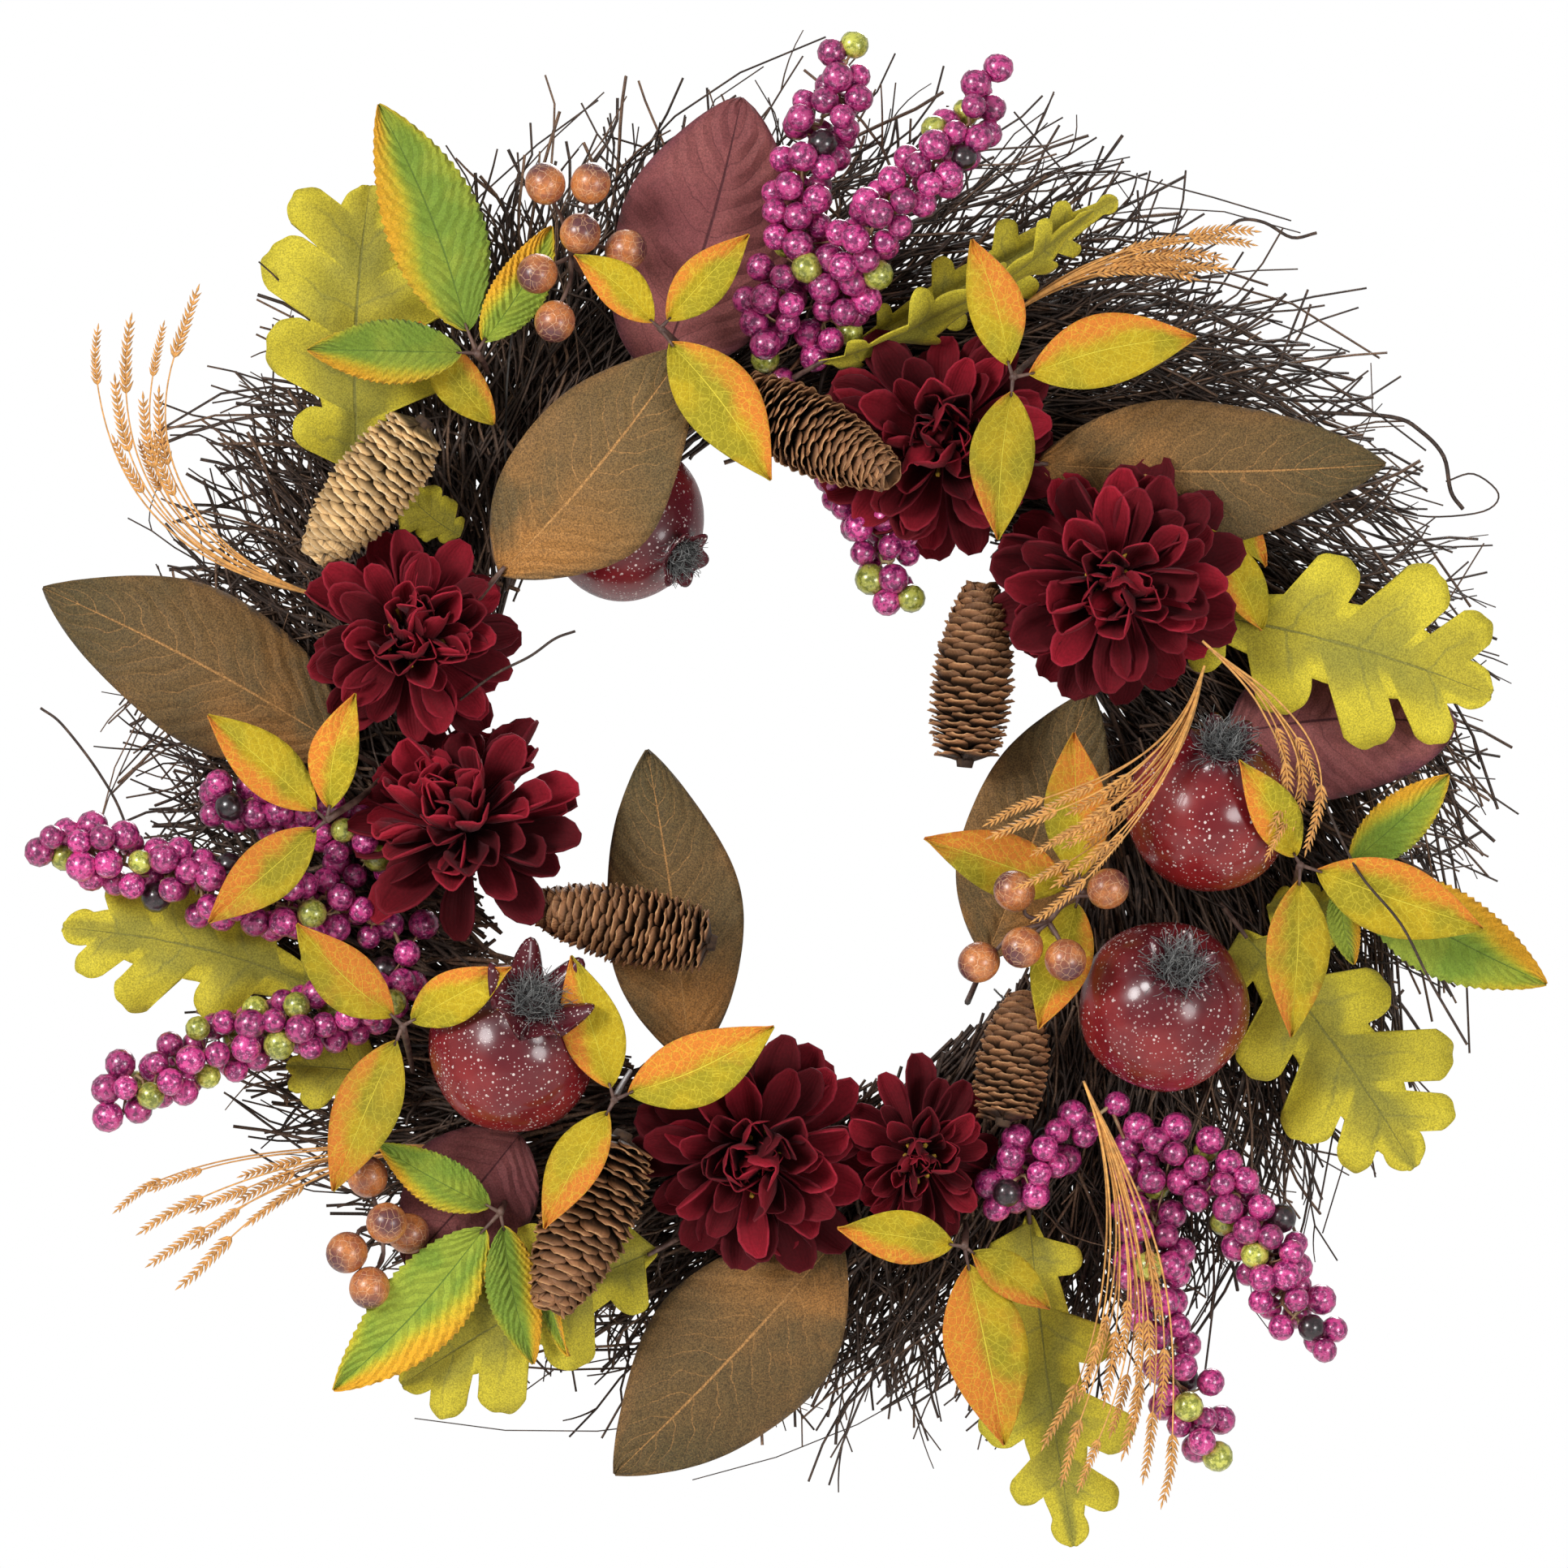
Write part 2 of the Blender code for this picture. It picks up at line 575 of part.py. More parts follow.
def sprig(name, hub, tips, root, width, bow, finish):
    """Three small leaves on one stem, which runs back into the twigs."""
    parts = [
        blade(f"{name}_leaf_{k + 1}", hub, tip, width, bow, SPRIG_CUP, 0, lance_outline, SPRIG_LEAF_ROWS, finish)
        for k, tip in enumerate(tips)
    ]
    parts.append(solid(f"{name}_stem", tube([place(hub), place(root)], STEM_R, STEM_SIDES), finish, place(root)))
    joined(ball(name, KNOT_R, finish, place(hub)), parts)


# ---------------------------------------------------------------- flowers, fruit, cones


def mum(name, back, radius, height, lean_right, lean_up):
    """A chrysanthemum as one dome with a lobed edge, on a short calyx."""
    axis = Vector((math.sin(math.radians(lean_right)), -1, math.sin(math.radians(lean_up)))).normalized()
    r, h = radius * MM, height * MM
    rings = []
    for share, rise, lobe in MUM_LEVELS:
        ring = []
        for k in range(2 * MUM_LOBES):
            a = math.pi * k / MUM_LOBES
            reach = r * share * (1 - lobe * (k % 2))
            ring.append(Vector((reach * math.cos(a), reach * math.sin(a), h * rise)))
        rings.append(ring)
    solid(name, lofted(rings), "mum_petal", place(back), towards(axis), smooth=True)


def pomegranate(name, centre, radius, crown_way):
    """A globe with a short neck and an open, flaring crown."""
    r = radius * MM
    x, depth, z = crown_way
    axis = Vector((x, -depth, z)).normalized()
    globe = [(r * math.sqrt(1 - h * h), r * h) for h in GLOBE_HEIGHTS]
    profile = [(0, FRUIT_BOTTOM * r), *globe, *((r * out, r * rise) for out, rise in CROWN), (0, r)]
    solid(name, turned(profile, FRUIT_SIDES), "pomegranate", place(centre), towards(axis), smooth=True)


def cone(name, base, tip, radius):
    """A spruce cone with stepped rows of scales. Its origin is its stalk end."""
    start, end = place(base), place(tip)
    length, r = (end - start).length, radius * MM
    profile = [(0, 0)]
    for i in range(CONE_ROWS):
        t = (i + 0.5) / CONE_ROWS
        reach = r * math.sin(math.pi * (0.14 + 0.78 * t) ** 0.85) ** 0.7
        profile.append((CONE_STEP * reach, length * (t - CONE_ROW_HALF / CONE_ROWS)))
        profile.append((reach, length * (t + CONE_ROW_HALF / CONE_ROWS)))
    profile.append((0, length))
    solid(name, turned(profile, CONE_SIDES), "cone", start, towards((end - start).normalized()))


# ---------------------------------------------------------------- berries and wheat


def berry_pick(name, root, *sprays):
    """Three sprays of small berries, each as its outer shape, forking from one stem."""
    start = place(root)
    parts = []
    for n, points in enumerate(sprays):
        path = smooth_path([start, *map(place, points)], 2 * len(points))
        radii = []
        run = 0.0
        for i, point in enumerate(path):
            t = i / (len(path) - 1)
            run += (point - path[max(i - 1, 0)]).length
            radii.append(SPRAY_R * min(1.0, 0.12 + run / SPRAY_BARE, 0.45 + 4.0 * (1 - t)))
        spray = tube(path, radii, SPRAY_SIDES)
        parts.append(solid(f"{name}_spray_{n + 1}", spray, "pink_berry", start, smooth=True))
    joined(ball(name, KNOT_R, "pink_berry", start, smooth=True), parts)


def brown_berries(name, fork, centres):
    """Round berries on bent wire stalks that meet at a fork."""
    root = place(fork)
    parts = []
    for n, centre in enumerate(map(place, centres)):
        parts.append(ball(f"{name}_berry_{n + 1}", BERRY_R, "brown_berry", centre, 2))
        stalk = tube([root, centre], STEM_R, STEM_SIDES)
        parts.append(solid(f"{name}_stalk_{n + 1}", stalk, "brown_berry", root))
    joined(ball(name, KNOT_R, "brown_berry", root, smooth=True), parts)


def wheat_spray(name, points, head_width):
    """A flat bundle of stalks that spreads into a fan of ears."""
    path = smooth_path([place(p) for p in points], 6)
    turns = [2 * math.pi * (k + 0.5) / WHEAT_SIDES for k in range(WHEAT_SIDES)]
    rings = []
    for i, (point, across, ahead) in enumerate(section_frames(path, (path[-1] - path[0]).cross(FORWARD))):
        t = i / (len(path) - 1)
        half = head_width * MM / 2 * min(0.10 + 1.1 * t, 1.0, 0.4 + 3.0 * (1 - t))
        thick = WHEAT_HALF_THICKNESS + WHEAT_HEAD_SWELL * t
        rings.append([point + across * half * math.cos(a) + ahead * thick * math.sin(a) for a in turns])
    solid(name, lofted(rings), "wheat", path[0])


def build():
    for old in list(bpy.data.objects):
        bpy.data.objects.remove(old)
    wire_frame()
    hanger_loop()
    binding_wire()
    for k in range(BUNCHES):
        twig_bunch(k)
    for name, row in BROWN_LEAVES.items():
        blade(name, *row, magnolia_outline, BROAD_LEAF_ROWS, "brown_leaf")
    for name, row in BURGUNDY_LEAVES.items():
        blade(name, *row, magnolia_outline, BROAD_LEAF_ROWS, "burgundy_leaf")
    for name, row in OAK_LEAVES.items():
        blade(name, *row, oak_outline, OAK_LEAF_ROWS, "oak_leaf")
    for name, row in YELLOW_SPRIGS.items():
        sprig(name, *row, YELLOW_LEAF_WIDTH, YELLOW_LEAF_BOW, "yellow_leaf")
    for name, row in GREEN_SPRIGS.items():
        sprig(name, *row, GREEN_LEAF_WIDTH, GREEN_LEAF_BOW, "green_leaf")
    for name, row in MUMS.items():
        mum(name, *row)
    for name, row in POMEGRANATES.items():
        pomegranate(name, *row)
    for name, row in CONES.items():
        cone(name, *row)
    for name, row in BERRY_PICKS.items():
        berry_pick(name, *row)
    for name, row in BROWN_BERRIES.items():
        brown_berries(name, *row)
    for name, row in WHEAT.items():
        wheat_spray(name, *row)


build()
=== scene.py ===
"""The finished look of the harvest door wreath: every twig, leaf, petal, berry, scale and straw.

Each piece takes its place from the packed solid that it stands for, and is built in metres in the same frame:
X to the right and Z up as seen from the front, and -Y towards the viewer.
"""

import json
import math
from collections import namedtuple

import bpy
import numpy as np
from mathutils import Matrix, Vector
from mathutils.bvhtree import BVHTree

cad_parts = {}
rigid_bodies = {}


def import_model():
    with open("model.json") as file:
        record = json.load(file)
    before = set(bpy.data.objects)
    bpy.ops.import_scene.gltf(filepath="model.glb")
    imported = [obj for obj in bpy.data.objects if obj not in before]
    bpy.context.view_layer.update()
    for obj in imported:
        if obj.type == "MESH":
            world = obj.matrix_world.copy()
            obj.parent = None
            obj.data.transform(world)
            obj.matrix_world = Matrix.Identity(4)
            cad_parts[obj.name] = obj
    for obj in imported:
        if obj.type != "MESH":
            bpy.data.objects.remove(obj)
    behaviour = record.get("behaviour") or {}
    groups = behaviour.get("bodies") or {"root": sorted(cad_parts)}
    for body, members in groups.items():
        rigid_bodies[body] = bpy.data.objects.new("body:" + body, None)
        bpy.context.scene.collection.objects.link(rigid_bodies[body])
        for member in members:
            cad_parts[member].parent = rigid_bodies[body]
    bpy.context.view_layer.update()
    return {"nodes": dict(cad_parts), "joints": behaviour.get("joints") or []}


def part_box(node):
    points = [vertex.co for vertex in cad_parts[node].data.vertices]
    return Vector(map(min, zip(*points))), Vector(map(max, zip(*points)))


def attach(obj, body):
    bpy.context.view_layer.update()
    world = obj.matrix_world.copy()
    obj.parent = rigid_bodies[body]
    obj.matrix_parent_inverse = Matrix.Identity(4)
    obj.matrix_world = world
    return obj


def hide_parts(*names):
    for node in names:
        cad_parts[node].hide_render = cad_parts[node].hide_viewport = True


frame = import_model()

bl_info = {
    "name": "Harvest Door Wreath",
    "version": (1, 0, 0),
    "blender": (4, 5, 0),
    "location": "View3D > Sidebar > Wreath",
    "description": "Builds a twig wreath dressed with leaves, flowers, fruit, cones, berries and wheat",
    "category": "Object",
}

GOLDEN_ANGLE = math.radians(137.508)
BRANCH = "wreath"
LOOP = "hanger"


def ring_measures():
    """The middle of the frame, and the radii of its two rings and of their wire."""
    low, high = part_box("wire_frame")
    wire = (high.y - low.y) / 2
    middle = (low + high) / 2
    points = solid_points("wire_frame")
    out = np.hypot(points[:, 0], points[:, 2] - middle.z)
    return middle.z, out.min() + wire, (high.x - low.x) / 2 - wire, wire


def solid_points(node):
    """The corner points of a packed solid, each once."""
    mesh = frame["nodes"][node].data
    flat = np.empty(len(mesh.vertices) * 3, np.float32)
    mesh.vertices.foreach_get("co", flat)
    return np.unique(np.round(flat.reshape(-1, 3).astype(float), 5), axis=0)


def solid_facets(node):
    """(middle, outward normal, area) of each facet of a packed solid."""
    facets = frame["nodes"][node].data.polygons
    middles = np.array([f.center for f in facets])
    normals = np.array([f.normal for f in facets])
    areas = np.array([f.area for f in facets])
    return middles, normals, areas


def nodes_named(prefix):
    return sorted(name for name in frame["nodes"] if name.startswith(prefix))


RING_Z, INNER_RING_R, OUTER_RING_R, RING_WIRE_R = ring_measures()


def unit(vector):
    vector = np.asarray(vector, float)
    return vector / np.linalg.norm(vector, axis=-1, keepdims=True)


def on_ring(angle, radius, depth):
    """Points at clock angles, clockwise from the top as seen from the front, and at a depth towards the viewer."""
    angle, radius, depth = np.broadcast_arrays(np.asarray(angle, float), radius, depth)
    return np.stack([radius * np.sin(angle), -depth, RING_Z + radius * np.cos(angle)], axis=-1)


def at_front(x, z, depth):
    """A point given from the ring's middle, in millimetres, as seen from the front."""
    return np.array([x, -depth, z]) / 1000 + np.array([0, 0, RING_Z])


# ---------------------------------------------------------------- settings


def length_setting(name, description, default):
    return bpy.props.FloatProperty(
        name=name, description=description, default=default, min=0.00005, unit="LENGTH", precision=5
    )


def colour_setting(name, description, default):
    return bpy.props.FloatVectorProperty(
        name=name, description=description, default=default, subtype="COLOR", size=3, min=0, max=1
    )


class WreathSettings(bpy.types.PropertyGroup):
    """Sizes and colours of the wreath's trimmings"""

    twig_count: bpy.props.IntProperty(
        name="Twigs", description="Number of long twigs in the whole ring", default=4600, min=40
    )
    twig_radius: length_setting("Twig radius", "Radius of a long twig where it is bound", 0.0011)
    leaf_thickness: length_setting("Leaf thickness", "Thickness of the leaf fabric", 0.0005)
    berry_radius: length_setting("Small berry radius", "Radius of a pink berry", 0.0058)
    large_berry_radius: length_setting("Large berry radius", "Radius of a brown berry", 0.0083)
    straw_radius: length_setting("Straw radius", "Radius of a wheat straw", 0.00055)
    twig_colour: colour_setting("Twig", "Darkest bark", (0.042, 0.026, 0.019))
    brown_leaf_colour: colour_setting("Brown leaf", "Main colour of the magnolia leaves", (0.118, 0.074, 0.026))
    burgundy_leaf_colour: colour_setting("Burgundy leaf", "Main colour of the burgundy leaves", (0.195, 0.050, 0.052))
    oak_leaf_colour: colour_setting("Oak leaf", "Main colour of the oak leaves", (0.385, 0.318, 0.024))
    yellow_leaf_colour: colour_setting("Yellow leaf", "Main colour of the yellow sprigs", (0.430, 0.300, 0.005))
    green_leaf_colour: colour_setting("Green leaf", "Main colour of the green sprigs", (0.280, 0.350, 0.034))
    petal_colour: colour_setting("Petal", "Main colour of the chrysanthemums", (0.165, 0.004, 0.011))
    fruit_colour: colour_setting("Pomegranate", "Main colour of the fruit's skin", (0.150, 0.008, 0.012))
    pale_cone_colour: colour_setting("Pale cone", "Scales of the pale cone", (0.660, 0.410, 0.175))
    cone_colour: colour_setting("Brown cone", "Scales of the brown cones", (0.270, 0.118, 0.048))
    pink_colour: colour_setting("Pink berry", "Lacquer of the small berries", (0.560, 0.045, 0.225))
    brown_berry_colour: colour_setting("Brown berry", "Lacquer of the large berries", (0.560, 0.190, 0.050))
    wheat_colour: colour_setting("Wheat", "Straws and ears", (0.860, 0.430, 0.105))


def settings():
    return bpy.context.scene.wreath


# ---------------------------------------------------------------- meshes


def link(obj):
    bpy.context.scene.collection.objects.link(obj)
    return obj


def set_attribute(mesh, name, values, kind="FLOAT", domain="POINT"):
    field = {"FLOAT": "value", "QUATERNION": "value", "FLOAT_VECTOR": "vector", "INT": "value"}[kind]
    made = mesh.attributes.new(name, kind, domain)
    flat = np.ascontiguousarray(values, np.int32 if kind == "INT" else np.float32).ravel()
    made.data.foreach_set(field, flat)


def sheet(points, thickness, tint=0.5):
    """A thin closed sheet over a grid of points: rows run along it and columns across it."""
    rows, columns = points.shape[:2]
    normal = unit(np.cross(np.gradient(points, axis=1), np.gradient(points, axis=0)) + 1e-12)
    index = np.arange(rows * columns).reshape(rows, columns)
    quads = np.stack([index[:-1, :-1], index[:-1, 1:], index[1:, 1:], index[1:, :-1]], axis=-1).reshape(-1, 4)
    rim = np.concatenate([index[0, :-1], index[:-1, -1], index[-1, :0:-1], index[:0:-1, 0]])
    after = np.roll(rim, -1)
    back = rows * columns
    faces = np.concatenate([quads, quads[:, ::-1] + back, np.stack([after, rim, rim + back, after + back], axis=-1)])
    across, along = np.meshgrid(np.linspace(0, 1, columns), np.linspace(0, 1, rows))
    half = normal * np.asarray(thickness)[..., None] / 2 if np.ndim(thickness) else normal * thickness / 2
    verts = np.concatenate([(points + half).reshape(-1, 3), (points - half).reshape(-1, 3)])
    uvs = np.tile(np.stack([along, across], axis=-1).reshape(-1, 2), (2, 1))
    return verts, faces, uvs, np.full(len(verts), tint)


def shell(rings, tint=0.5):
    """A closed shell over rings of points, which go anticlockwise about the way that they follow each other. A point
    in the middle of the first and of the last ring closes each end."""
    count, segments = rings.shape[:2]
    index = np.arange(count * segments).reshape(count, segments)
    after = np.roll(index, -1, axis=1)
    quads = np.stack([index[:-1], after[:-1], after[1:], index[1:]], axis=-1).reshape(-1, 4)
    poles = np.array([count * segments, count * segments + 1])
    caps = [np.stack([after[0], index[0], np.full(segments, poles[0])], axis=-1)]
    caps.append(np.stack([index[-1], after[-1], np.full(segments, poles[1])], axis=-1))
    verts = np.concatenate([rings.reshape(-1, 3), rings[0].mean(0)[None], rings[-1].mean(0)[None]])
    faces = [*quads.tolist(), *np.concatenate(caps).tolist()]
    round_share, rise = np.meshgrid(np.linspace(0, 1, segments), np.linspace(0, 1, count))
    uvs = np.concatenate([np.stack([rise, round_share], axis=-1).reshape(-1, 2), [[0, 0], [1, 0]]])
    return verts, faces, uvs, np.full(len(verts), tint)


def rings_along(path, radii, sides):
    """Rings of points round a path, carried along it without twisting."""
    path = np.asarray(path, float)
    radii = np.broadcast_to(radii, len(path))
    along = unit(np.gradient(path, axis=0))
    side = np.cross(along[0], [0.3, 0.8, 0.5])
    rings = []
    angles = 2 * np.pi * np.arange(sides) / sides
    for point, way, radius in zip(path, along, radii):
        side = unit(side - way * (side @ way))
        rings.append(point + radius * (np.cos(angles)[:, None] * side + np.sin(angles)[:, None] * np.cross(way, side)))
    return np.array(rings)


def rod(path, radii, sides=6, tint=0.5):
    return shell(rings_along(path, radii, sides), tint)


def with_finish(shape, number):
    return (*shape, number)


def mesh_of(name, shapes, materials=(), smooth=True):
    """One mesh of several shapes, each given as (verts, faces, uvs, tints) with an optional material number."""
    verts, faces, uvs, tints, slots = [], [], [], [], []
    start = 0
    for shape in shapes:
        points, sides, flat, tint = shape[:4]
        verts.append(points)
        faces += [[i + start for i in side] for side in np.asarray(sides, dtype=object).tolist()]
        uvs.append(flat)
        tints.append(tint)
        slots += [shape[4] if len(shape) > 4 else 0] * len(sides)
        start += len(points)
    mesh = bpy.data.meshes.new(name)
    mesh.from_pydata(np.concatenate(verts).tolist(), [], faces)
    uvs = np.concatenate(uvs)
    corner = np.empty(len(mesh.loops), np.int32)
    mesh.loops.foreach_get("vertex_index", corner)
    mesh.uv_layers.new(name="UVMap").data.foreach_set("uv", uvs[corner].astype(np.float32).ravel())
    set_attribute(mesh, "tint", np.concatenate(tints))
    for finish in materials:
        mesh.materials.append(finish)
    mesh.polygons.foreach_set("material_index", slots)
    mesh.polygons.foreach_set("use_smooth", [smooth] * len(faces))
    mesh.update()
    return mesh


def piece(name, shapes, finishes, smooth=True):
    """An object made of shapes, under one name with its mesh."""
    return link(bpy.data.objects.new(name, mesh_of(name, shapes, finishes, smooth)))


def settle(obj, slot, *nodes, body=BRANCH):
    """Hands a finished piece over: what it stands for, its finish's slot and the body that it moves with."""
    if nodes:
        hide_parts(*nodes)
    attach(obj, body)


# ---------------------------------------------------------------- geometry nodes


def new_tree(name, inputs):
    """A geometry tree with its geometry in and out and the named inputs."""
    tree = bpy.data.node_groups.new(name, "GeometryNodeTree")
    tree.interface.new_socket("Geometry", in_out="OUTPUT", socket_type="NodeSocketGeometry")
    tree.interface.new_socket("Geometry", in_out="INPUT", socket_type="NodeSocketGeometry")
    for label, kind in inputs:
        tree.interface.new_socket(label, in_out="INPUT", socket_type="NodeSocket" + kind)
    source = tree.nodes.new("NodeGroupInput")
    return tree, source


def step(tree, kind, inputs, **options):
    """Adds one geometry node, with its options set and its inputs linked or given."""
    node = tree.nodes.new("GeometryNode" + kind)
    for key, value in options.items():
        setattr(node, key, value)
    for key, value in inputs.items():
        socket = node.inputs[key]
        if isinstance(value, bpy.types.NodeSocket):
            tree.links.new(value, socket)
        else:
            socket.default_value = value
    return node.outputs[0]


def end_tree(tree, source, geometry):
    whole = step(tree, "RealizeInstances", {"Geometry": geometry})
    coloured = step(tree, "SetMaterial", {"Geometry": whole, "Material": source.outputs["Material"]})
    tree.links.new(coloured, tree.nodes.new("NodeGroupOutput").inputs[0])
    return tree


def strand_tree():
    """Sweeps a round section along every line of a mesh of edges. The points' thick attribute is the radius."""
    found = bpy.data.node_groups.get("Strands")
    if found:
        return found
    tree, source = new_tree("Strands", [("Sides", "Int"), ("Material", "Material")])
    thick = step(tree, "InputNamedAttribute", {"Name": "thick"}, data_type="FLOAT")
    curve = step(tree, "MeshToCurve", {"Mesh": source.outputs["Geometry"]})
    ring = step(tree, "CurvePrimitiveCircle", {"Resolution": source.outputs["Sides"], "Radius": 1.0})
    swept = step(tree, "CurveToMesh", {"Curve": curve, "Profile Curve": ring, "Scale": thick, "Fill Caps": True})
    smooth = step(tree, "SetShadeSmooth", {"Geometry": swept, "Shade Smooth": True})
    return end_tree(tree, source, smooth)


def scatter_tree():
    """Puts pieces from a collection on points, turned by turn, sized by size and picked by kind."""
    found = bpy.data.node_groups.get("Scatter")
    if found:
        return found
    tree, source = new_tree("Scatter", [("Pieces", "Collection"), ("Material", "Material")])
    turn = step(tree, "InputNamedAttribute", {"Name": "turn"}, data_type="QUATERNION")
    size = step(tree, "InputNamedAttribute", {"Name": "size"}, data_type="FLOAT_VECTOR")
    kind = step(tree, "InputNamedAttribute", {"Name": "kind"}, data_type="INT")
    pieces = step(
        tree, "CollectionInfo",
        {"Collection": source.outputs["Pieces"], "Separate Children": True, "Reset Children": True},
    )
    placed = step(
        tree, "InstanceOnPoints",
        {
            "Points": source.outputs["Geometry"], "Instance": pieces, "Pick Instance": True,
            "Instance Index": kind, "Rotation": turn, "Scale": size,
        },
    )
    return end_tree(tree, source, placed)


def baked(name, mesh, tree, values):
    """Runs a tree on a mesh and keeps the result as a plain object."""
    carrier = link(bpy.data.objects.new(name + "_carrier", mesh))
    modifier = carrier.modifiers.new("Build", "NODES")
    modifier.node_group = tree
    for item in tree.interface.items_tree:
        if item.name in values:
            modifier[item.identifier] = values[item.name]
    graph = bpy.context.evaluated_depsgraph_get()
    made = bpy.data.meshes.new_from_object(
        carrier.evaluated_get(graph), preserve_all_data_layers=True, depsgraph=graph
    )
    bpy.data.objects.remove(carrier)
    bpy.data.meshes.remove(mesh)
    if not made.polygons:
        raise RuntimeError(f"{name} came out empty")
    if "UVMap" not in made.uv_layers:
        made.uv_layers.new(name="UVMap")
    made.name = name
    return link(bpy.data.objects.new(name, made))


def strands(name, lines, material, sides=5, closed=False):
    """Round stems, wires or twigs along lines, each given as (points, radius or radii, tint)."""
    counts = np.array([len(points) for points, _, _ in lines])
    ends = np.cumsum(counts)
    inner = np.ones(ends[-1], bool)
    inner[ends - 1] = False
    first = np.flatnonzero(inner)
    edges = np.stack([first, first + 1], axis=1)
    if closed:
        edges = np.concatenate([edges, np.stack([ends - 1, ends - counts], axis=1)])
    mesh = bpy.data.meshes.new(name)
    mesh.from_pydata(np.concatenate([points for points, _, _ in lines]).tolist(), edges.tolist(), [])
    set_attribute(mesh, "thick", np.concatenate([np.broadcast_to(r, n) for (_, r, _), n in zip(lines, counts)]))
    set_attribute(mesh, "tint", np.repeat([tint for _, _, tint in lines], counts))
    return baked(name, mesh, strand_tree(), {"Sides": sides, "Material": material})


def scattered(name, places, axes, sizes, tints, pieces, material, kinds=None):
    """Copies of small pieces. axes holds each copy's X, Y and Z axes as the rows of a matrix."""
    store = bpy.data.collections.new(name + "_pieces")
    for number, mesh in enumerate(pieces):
        store.objects.link(bpy.data.objects.new(f"{number:02d}_{name}", mesh))
    count = len(places)
    mesh = bpy.data.meshes.new(name)
    mesh.from_pydata(np.asarray(places).tolist(), [], [])
    turns = [tuple(Matrix(np.asarray(rows).T.tolist()).to_quaternion()) for rows in axes]
    sizes = np.broadcast_to(np.asarray(sizes, float).reshape(-1, 1) if np.ndim(sizes) < 2 else sizes, (count, 3))
    set_attribute(mesh, "turn", turns, "QUATERNION")
    set_attribute(mesh, "size", sizes, "FLOAT_VECTOR")
    set_attribute(mesh, "kind", np.zeros(count) if kinds is None else kinds, "INT")
    set_attribute(mesh, "shade", np.broadcast_to(tints, count))
    result = baked(name, mesh, scatter_tree(), {"Pieces": store, "Material": material})
    for obj in list(store.objects):
        bpy.data.objects.remove(obj)
    bpy.data.collections.remove(store)
    return result


def random_axes(rng, count):
    """Random right-handed sets of axes."""
    x = unit(rng.normal(size=(count, 3)))
    y = unit(np.cross(x, unit(rng.normal(size=(count, 3)))))
    return np.stack([x, y, np.cross(x, y)], axis=1)


def axes_along(along, ahead):
    """Axes with X along a direction and Z as near as can be to another."""
    x = unit(along)
    y = unit(np.cross(ahead, x))
    return np.stack([x, y, np.cross(x, y)], axis=-2)


def curve_through(points, count):
    """Points at even steps of a smooth curve through the given points."""
    points = np.asarray(points, float)
    ends = np.concatenate([[2 * points[0] - points[1]], points, [2 * points[-1] - points[-2]]])
    at = np.linspace(0, len(points) - 1, count)
    i = np.minimum(at.astype(int), len(points) - 2)
    t = (at - i)[:, None]
    a, b, c, d = (ends[i + k] for k in range(4))
    return 0.5 * (2 * b + (c - a) * t + (2 * a - 5 * b + 4 * c - d) * t**2 + (3 * b - a - 3 * c + d) * t**3)


# ---------------------------------------------------------------- materials


